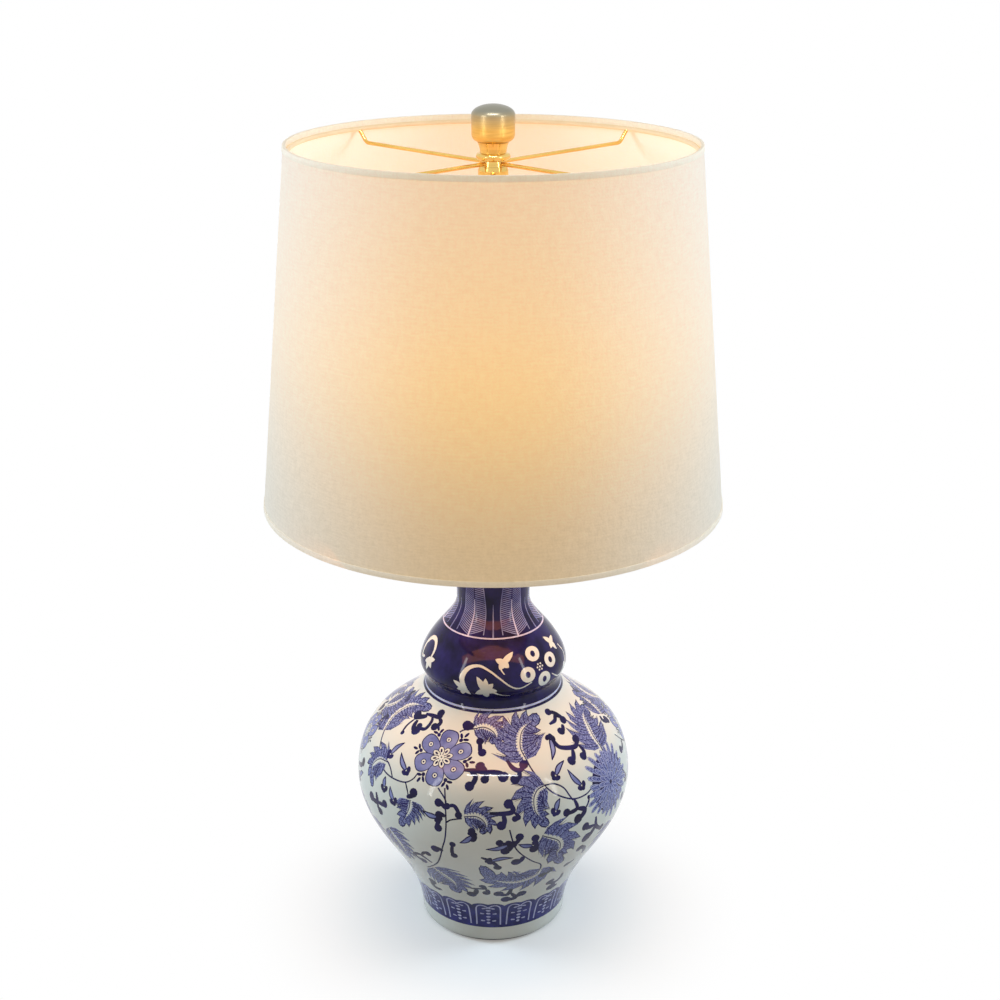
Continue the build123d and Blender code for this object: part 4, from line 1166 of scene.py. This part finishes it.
# %% Hems
HEM = 0.6 * MM
HEM_HEIGHT = 3.6 * MM
gauge = CLOTH + LINER
for end, edge_z, inward in (("top", cloth_high.z, -1), ("bottom", cloth_low.z, 1)):
    turned = edge_z + inward * HEM_HEIGHT
    fold = edge_z - inward * HEM
    corner = fold + inward * 0.3 * HEM
    outside = [
        (cone(turned), turned), (cone(turned) + 0.8 * HEM, turned),
        (cone(turned) + HEM, turned - inward * 0.3 * HEM), (cone(edge_z) + HEM, edge_z),
        (cone(edge_z) + 0.7 * HEM, corner), (cone(edge_z), fold),
    ]
    inner = [
        (cone(edge_z) - gauge, fold), (cone(edge_z) - gauge - 0.7 * HEM, corner),
        (cone(edge_z) - gauge - HEM, edge_z), (cone(turned) - gauge - HEM, turned),
        (cone(turned) - gauge, turned), (cone(edge_z) - gauge, edge_z), (cone(edge_z), edge_z),
    ]
    add_piece(
        spun(outside + inner), f"{end}_hem", "shade", [f"shade_{end}_hem"], [hem_linen])

# %% [markdown]
# ## Metal, plastic and glass
# The other pieces keep their imported shape and only get a finish. Brass is a metal whose colour drifts a
# little, with long faint polishing marks from a stretched noise and a faint warm painted glow for the
# bulb's light on it, and the finial's knob has a painted pale reflection towards its top. The wire rings
# in the shade's hems are enamelled, with a warm painted glow for the bulb's light on them. Steel,
# plastic, rubber and glass are made the same way with other values, so one call names the pieces and
# their look.

# %% Dress the brass and the rings


def dress(names, *look, **more):
    """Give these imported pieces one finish."""
    material = finish(*look, **more)
    for name in names.split():
        for slot in frame["nodes"][name].material_slots:
            slot.link = "OBJECT"
            slot.material = material
    print(material.name, "on", names)


# The brass also gives a faint warm painted glow, standing in for the bulb's light falling on it.
dress(
    "vase_cap neck_spacer harp_saddle harp_loop harp_seat sleeve_front sleeve_back socket_cap"
    " socket_shell spider_hub spider_arms finial_insert finial_collar centre_contact",
    "polished_brass", [(0.70, 0.45, 0.12), (0.84, 0.58, 0.19)], 30, (0.10, 0.20), stretch=(1, 1, 8),
    Metallic=1.0, Emission_Color=(0.90, 0.56, 0.16, 1), Emission_Strength=0.05,
)
# The knob's paler top is a painted reflection of the bright room above it.
PAINTED_REFLECTION_TOP = (0.30, 0.29, 0.23)
knob_low, knob_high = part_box("finial_knob")
knob_height = knob_high.z - knob_low.z
dress(
    "finial_knob", "satin_brass", [(0.74, 0.46, 0.12), (0.88, 0.58, 0.17)], 60, (0.28, 0.40),
    stretch=(1, 1, 14), bump=0.06, Metallic=1.0,
    top=(PAINTED_REFLECTION_TOP, knob_low.z + 0.35 * knob_height, knob_high.z - 0.15 * knob_height),
)
# The rings' enamel gives a warm painted glow, standing in for the bulb's light falling on them.
dress(
    "shade_top_ring shade_bottom_ring", "ring_enamel", [(0.62, 0.50, 0.36), (0.68, 0.56, 0.42)], 60,
    (0.35, 0.50), Emission_Color=(1.0, 0.66, 0.28, 1), Emission_Strength=0.34,
)

# %% Dress the fittings
dress("base_washer lock_washer base_nut lamp_pipe terminal_screws switch_shaft", "zinc_steel",
      [(0.42, 0.43, 0.43), (0.60, 0.60, 0.58)], 120, (0.28, 0.42), Metallic=1.0)
dress("cord_bushing switch_knob", "moulded_black",
      [(0.010, 0.009, 0.008), (0.022, 0.019, 0.017)], 90, (0.28, 0.40))
dress("cap_gasket", "black_rubber",
      [(0.012, 0.012, 0.012), (0.026, 0.025, 0.024)], 160, (0.60, 0.80), bump=0.1)
dress("socket_core", "brown_core", [(0.016, 0.011, 0.009), (0.034, 0.024, 0.018)], 110, (0.38, 0.55))
dress("socket_liner", "pressed_fibre",
      [(0.20, 0.13, 0.07), (0.34, 0.24, 0.14)], 260, (0.75, 0.95), bump=0.2)
dress("screw_shell bulb_cap bulb_contact", "thread_metal",
      [(0.58, 0.57, 0.54), (0.74, 0.73, 0.70)], 90, (0.22, 0.36), Metallic=1.0)

# %% Dress the bulb
dress("bulb_insulator", "black_glass", [(0.006, 0.006, 0.007), (0.014, 0.013, 0.014)], 80, (0.08, 0.16))
dress("bulb_glass", "frosted_glass", [(0.46, 0.42, 0.34), (0.54, 0.50, 0.42)], 50, (0.35, 0.50),
      Emission_Color=(1.0, 0.70, 0.34, 1), Emission_Strength=0.6)
dress("bulb_stem", "stem_glass", [(0.86, 0.88, 0.86), (0.93, 0.94, 0.92)], 60, (0.03, 0.08),
      Transmission_Weight=1.0, IOR=1.47)
dress("bulb_filament", "hot_wire", [(0.60, 0.40, 0.20), (0.80, 0.55, 0.30)], 400, (0.40, 0.55),
      Emission_Color=(1.0, 0.62, 0.26, 1), Emission_Strength=8.0)

# %% [markdown]
# ## The studio
# The lamp stands on a pale floor that fades to white away from it, so its shadow stays and the picture
# has no horizon. One bright white dome would be simplest, but it would wash out the dark glaze. So world
# and floor are white for the rays that look, from the camera, off a mirror or through glass, and shed
# less light than that.

# %% Rays that look


def rays_that_see(tree):
    """A factor that is 1 for the rays that look: from the camera, off a mirror or through glass."""
    path = tree.nodes.new("ShaderNodeLightPath")
    seen = path.outputs["Is Camera Ray"]
    for kind in ("Is Glossy Ray", "Is Transmission Ray"):
        seen = math_node(tree, "MAXIMUM", seen, path.outputs[kind])
    return seen


# %% Floor
FLOOR_SIZE = 20
FADE_END = 0.22
FLOOR_LIT = (0.42, 0.42, 0.43, 1)
FLOOR_SEEN = (0.90, 0.90, 0.90, 1)
floor_bm = bmesh.new()
bmesh.ops.create_grid(floor_bm, x_segments=1, y_segments=1, size=FLOOR_SIZE)
floor_mesh = bpy.data.meshes.new("floor")
floor_bm.to_mesh(floor_mesh)
floor_bm.free()
floor = bpy.data.objects.new("floor", floor_mesh)
bpy.context.scene.collection.objects.link(floor)
floor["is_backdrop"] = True

floor_paper, tree, paper = new_material("floor_paper")
paper.inputs["Roughness"].default_value = 0.9
paper.inputs["Specular IOR Level"].default_value = 0.1
seen = rays_that_see(tree)
feed(tree, paper.inputs["Base Color"], mixed(tree, seen, FLOOR_LIT, FLOOR_SEEN))
spot = add_node(tree, "TexCoord", "Object", {})
distance = add_node(tree, "VectorMath", "Value", {0: spot}, operation="LENGTH")
fade = map_range(tree, distance, 0.0, FADE_END, interpolation_type="SMOOTHSTEP")
bright = add_node(tree, "Emission", "Emission", {"Strength": 1.0})
blend = add_node(tree, "MixShader", "Shader", {
    "Fac": math_node(tree, "MULTIPLY", fade, seen), 1: paper.outputs["BSDF"], 2: bright})
feed(tree, tree.nodes["Material Output"].inputs["Surface"], blend)
floor_mesh.materials.append(floor_paper)
print("the floor is white from", FADE_END, "m away")

# %% World
SKY_STRENGTH = 0.29
world = bpy.context.scene.world or bpy.data.worlds.new("studio")
bpy.context.scene.world = world
world.use_nodes = True
tree = world.node_tree
sky = tree.nodes["Background"]
sky.inputs["Color"].default_value = (1.0, 0.98, 0.94, 1)
sky.inputs["Strength"].default_value = SKY_STRENGTH
white = add_node(tree, "Background", "Background", {"Color": (1, 1, 1, 1)})
either = add_node(tree, "MixShader", "Shader", {
    "Fac": rays_that_see(tree), 1: sky.outputs["Background"], 2: white})
feed(tree, tree.nodes["World Output"].inputs["Surface"], either)
print("the world sheds", SKY_STRENGTH, "of the white that is seen")

# %% [markdown]
# ## Lights
# On the real lamp the bulb lights the shade and the room lights the rest. One light could serve glaze and
# cloth alike, but what suits a mirror spoils a matt surface, so every light is hidden from the rays it
# isn't for. Soft lights at the sides and in front light cloth and paint. Thin windows and a streak draw
# the bright lines on the glaze. A glow under the shade and a card that only mirrors see bring the warm
# light of the shade down to the shoulder, and a small light rides in the bulb.

# %% Lights of the room
WHITE = (1, 1, 1)
COOL = (0.67, 0.86, 1.0)
CREAM = (1.0, 0.90, 0.72)
middle = (0, 0, cad_high.z / 2)
top_middle = (0, 0, cad_high.z * 0.75)


def soft_light(name, place, aim, size, power, colour, hidden_from):
    """A rectangular soft light that looks at a point and is hidden from some kinds of rays."""
    light = bpy.data.lights.new(name, "AREA")
    light.shape = "RECTANGLE"
    light.size, light.size_y = size
    light.energy = power
    light.color = colour
    lamp = bpy.data.objects.new(name, light)
    lamp.location = place
    lamp.rotation_euler = (Vector(aim) - Vector(place)).to_track_quat("-Z", "Y").to_euler()
    for rays in hidden_from:
        setattr(lamp, "visible_" + rays, False)
    bpy.context.scene.collection.objects.link(lamp)
    print(name, power, "W")


for side in (-1, 1):
    soft_light(
        f"side_light_{side}", (1.5 * side, 0.2, 0.95), top_middle, (0.6, 1.0), 21, COOL, ["glossy"])
    soft_light(
        f"window_light_{side}", (1.1 * side, -0.9, 0.75), middle, (0.10, 0.9), 3.2, WHITE, ["diffuse"])
soft_light("fill_light", (0, -1.9, 2.0), middle, (1.8, 1.2), 10, CREAM, ["glossy"])
soft_light("streak_light", (-0.02, -1.35, 2.5), middle, (1.6, 0.06), 25, WHITE, ["diffuse"])

# %% Lights of the lit shade
BULB_WATTS = 0.54
BULB_MIDDLE = 0.032
under_shade = (0, 0, cloth_low.z + 0.01)
soft_light("shoulder_glow", under_shade, (0, 0, 0), (0.2, 0.2), 0.55, (1.0, 0.44, 0.15),
           ["camera", "glossy"])
soft_light("rim_card", (0, -0.148, 0.371), (0, -0.046, 0.261), (0.38, 0.04), 0.21, (1.0, 0.28, 0.06),
           ["camera", "diffuse"])
bulb_low, bulb_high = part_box("bulb_glass")
glow = bpy.data.lights.new("bulb_light", "POINT")
glow.energy = BULB_WATTS
glow.color = (1.0, 0.74, 0.42)
glow.shadow_soft_size = (bulb_high.x - bulb_low.x) / 2 + 0.002
glow_lamp = bpy.data.objects.new("bulb_light", glow)
glow_lamp.location = (0, 0, bulb_high.z - BULB_MIDDLE)
glow_lamp.visible_camera = False
glow_lamp.visible_glossy = False
bpy.context.scene.collection.objects.link(glow_lamp)
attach(glow_lamp, "bulb")
print("bulb_light", BULB_WATTS, "W")

# %% [markdown]
# ## The camera
# The camera could be placed by eye, but then the rims of the shade would curve too much or too little. It
# was fitted to the two rims, the foot and the belly instead, so it stands where the photograph was taken
# from: a little above the shade, looking down by about twenty degrees.

# %% Camera
LENS = 59.15
SHIFT = 0.0068
PLACE = (0, -1.2075, 0.8221)
LOOK_DOWN = 20.54
scene = bpy.context.scene
lens = bpy.data.cameras.new("camera")
lens.lens = LENS
lens.sensor_width = 36.0
lens.shift_x = SHIFT
lens.dof.use_dof = False
camera = bpy.data.objects.new("camera", lens)
camera.location = PLACE
camera.rotation_euler = (math.radians(90 - LOOK_DOWN), 0, 0)
scene.collection.objects.link(camera)
scene.camera = camera
scene.view_settings.view_transform = "Standard"
print("camera at", PLACE, "with a lens of", LENS, "mm")

# %% [markdown]
# ## Size
# The size of the dressed lamp is printed. Dressing must not make the lamp grow.

# %% Size
low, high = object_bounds()
print("dressed size", [round(b - a, 4) for a, b in zip(low, high)])
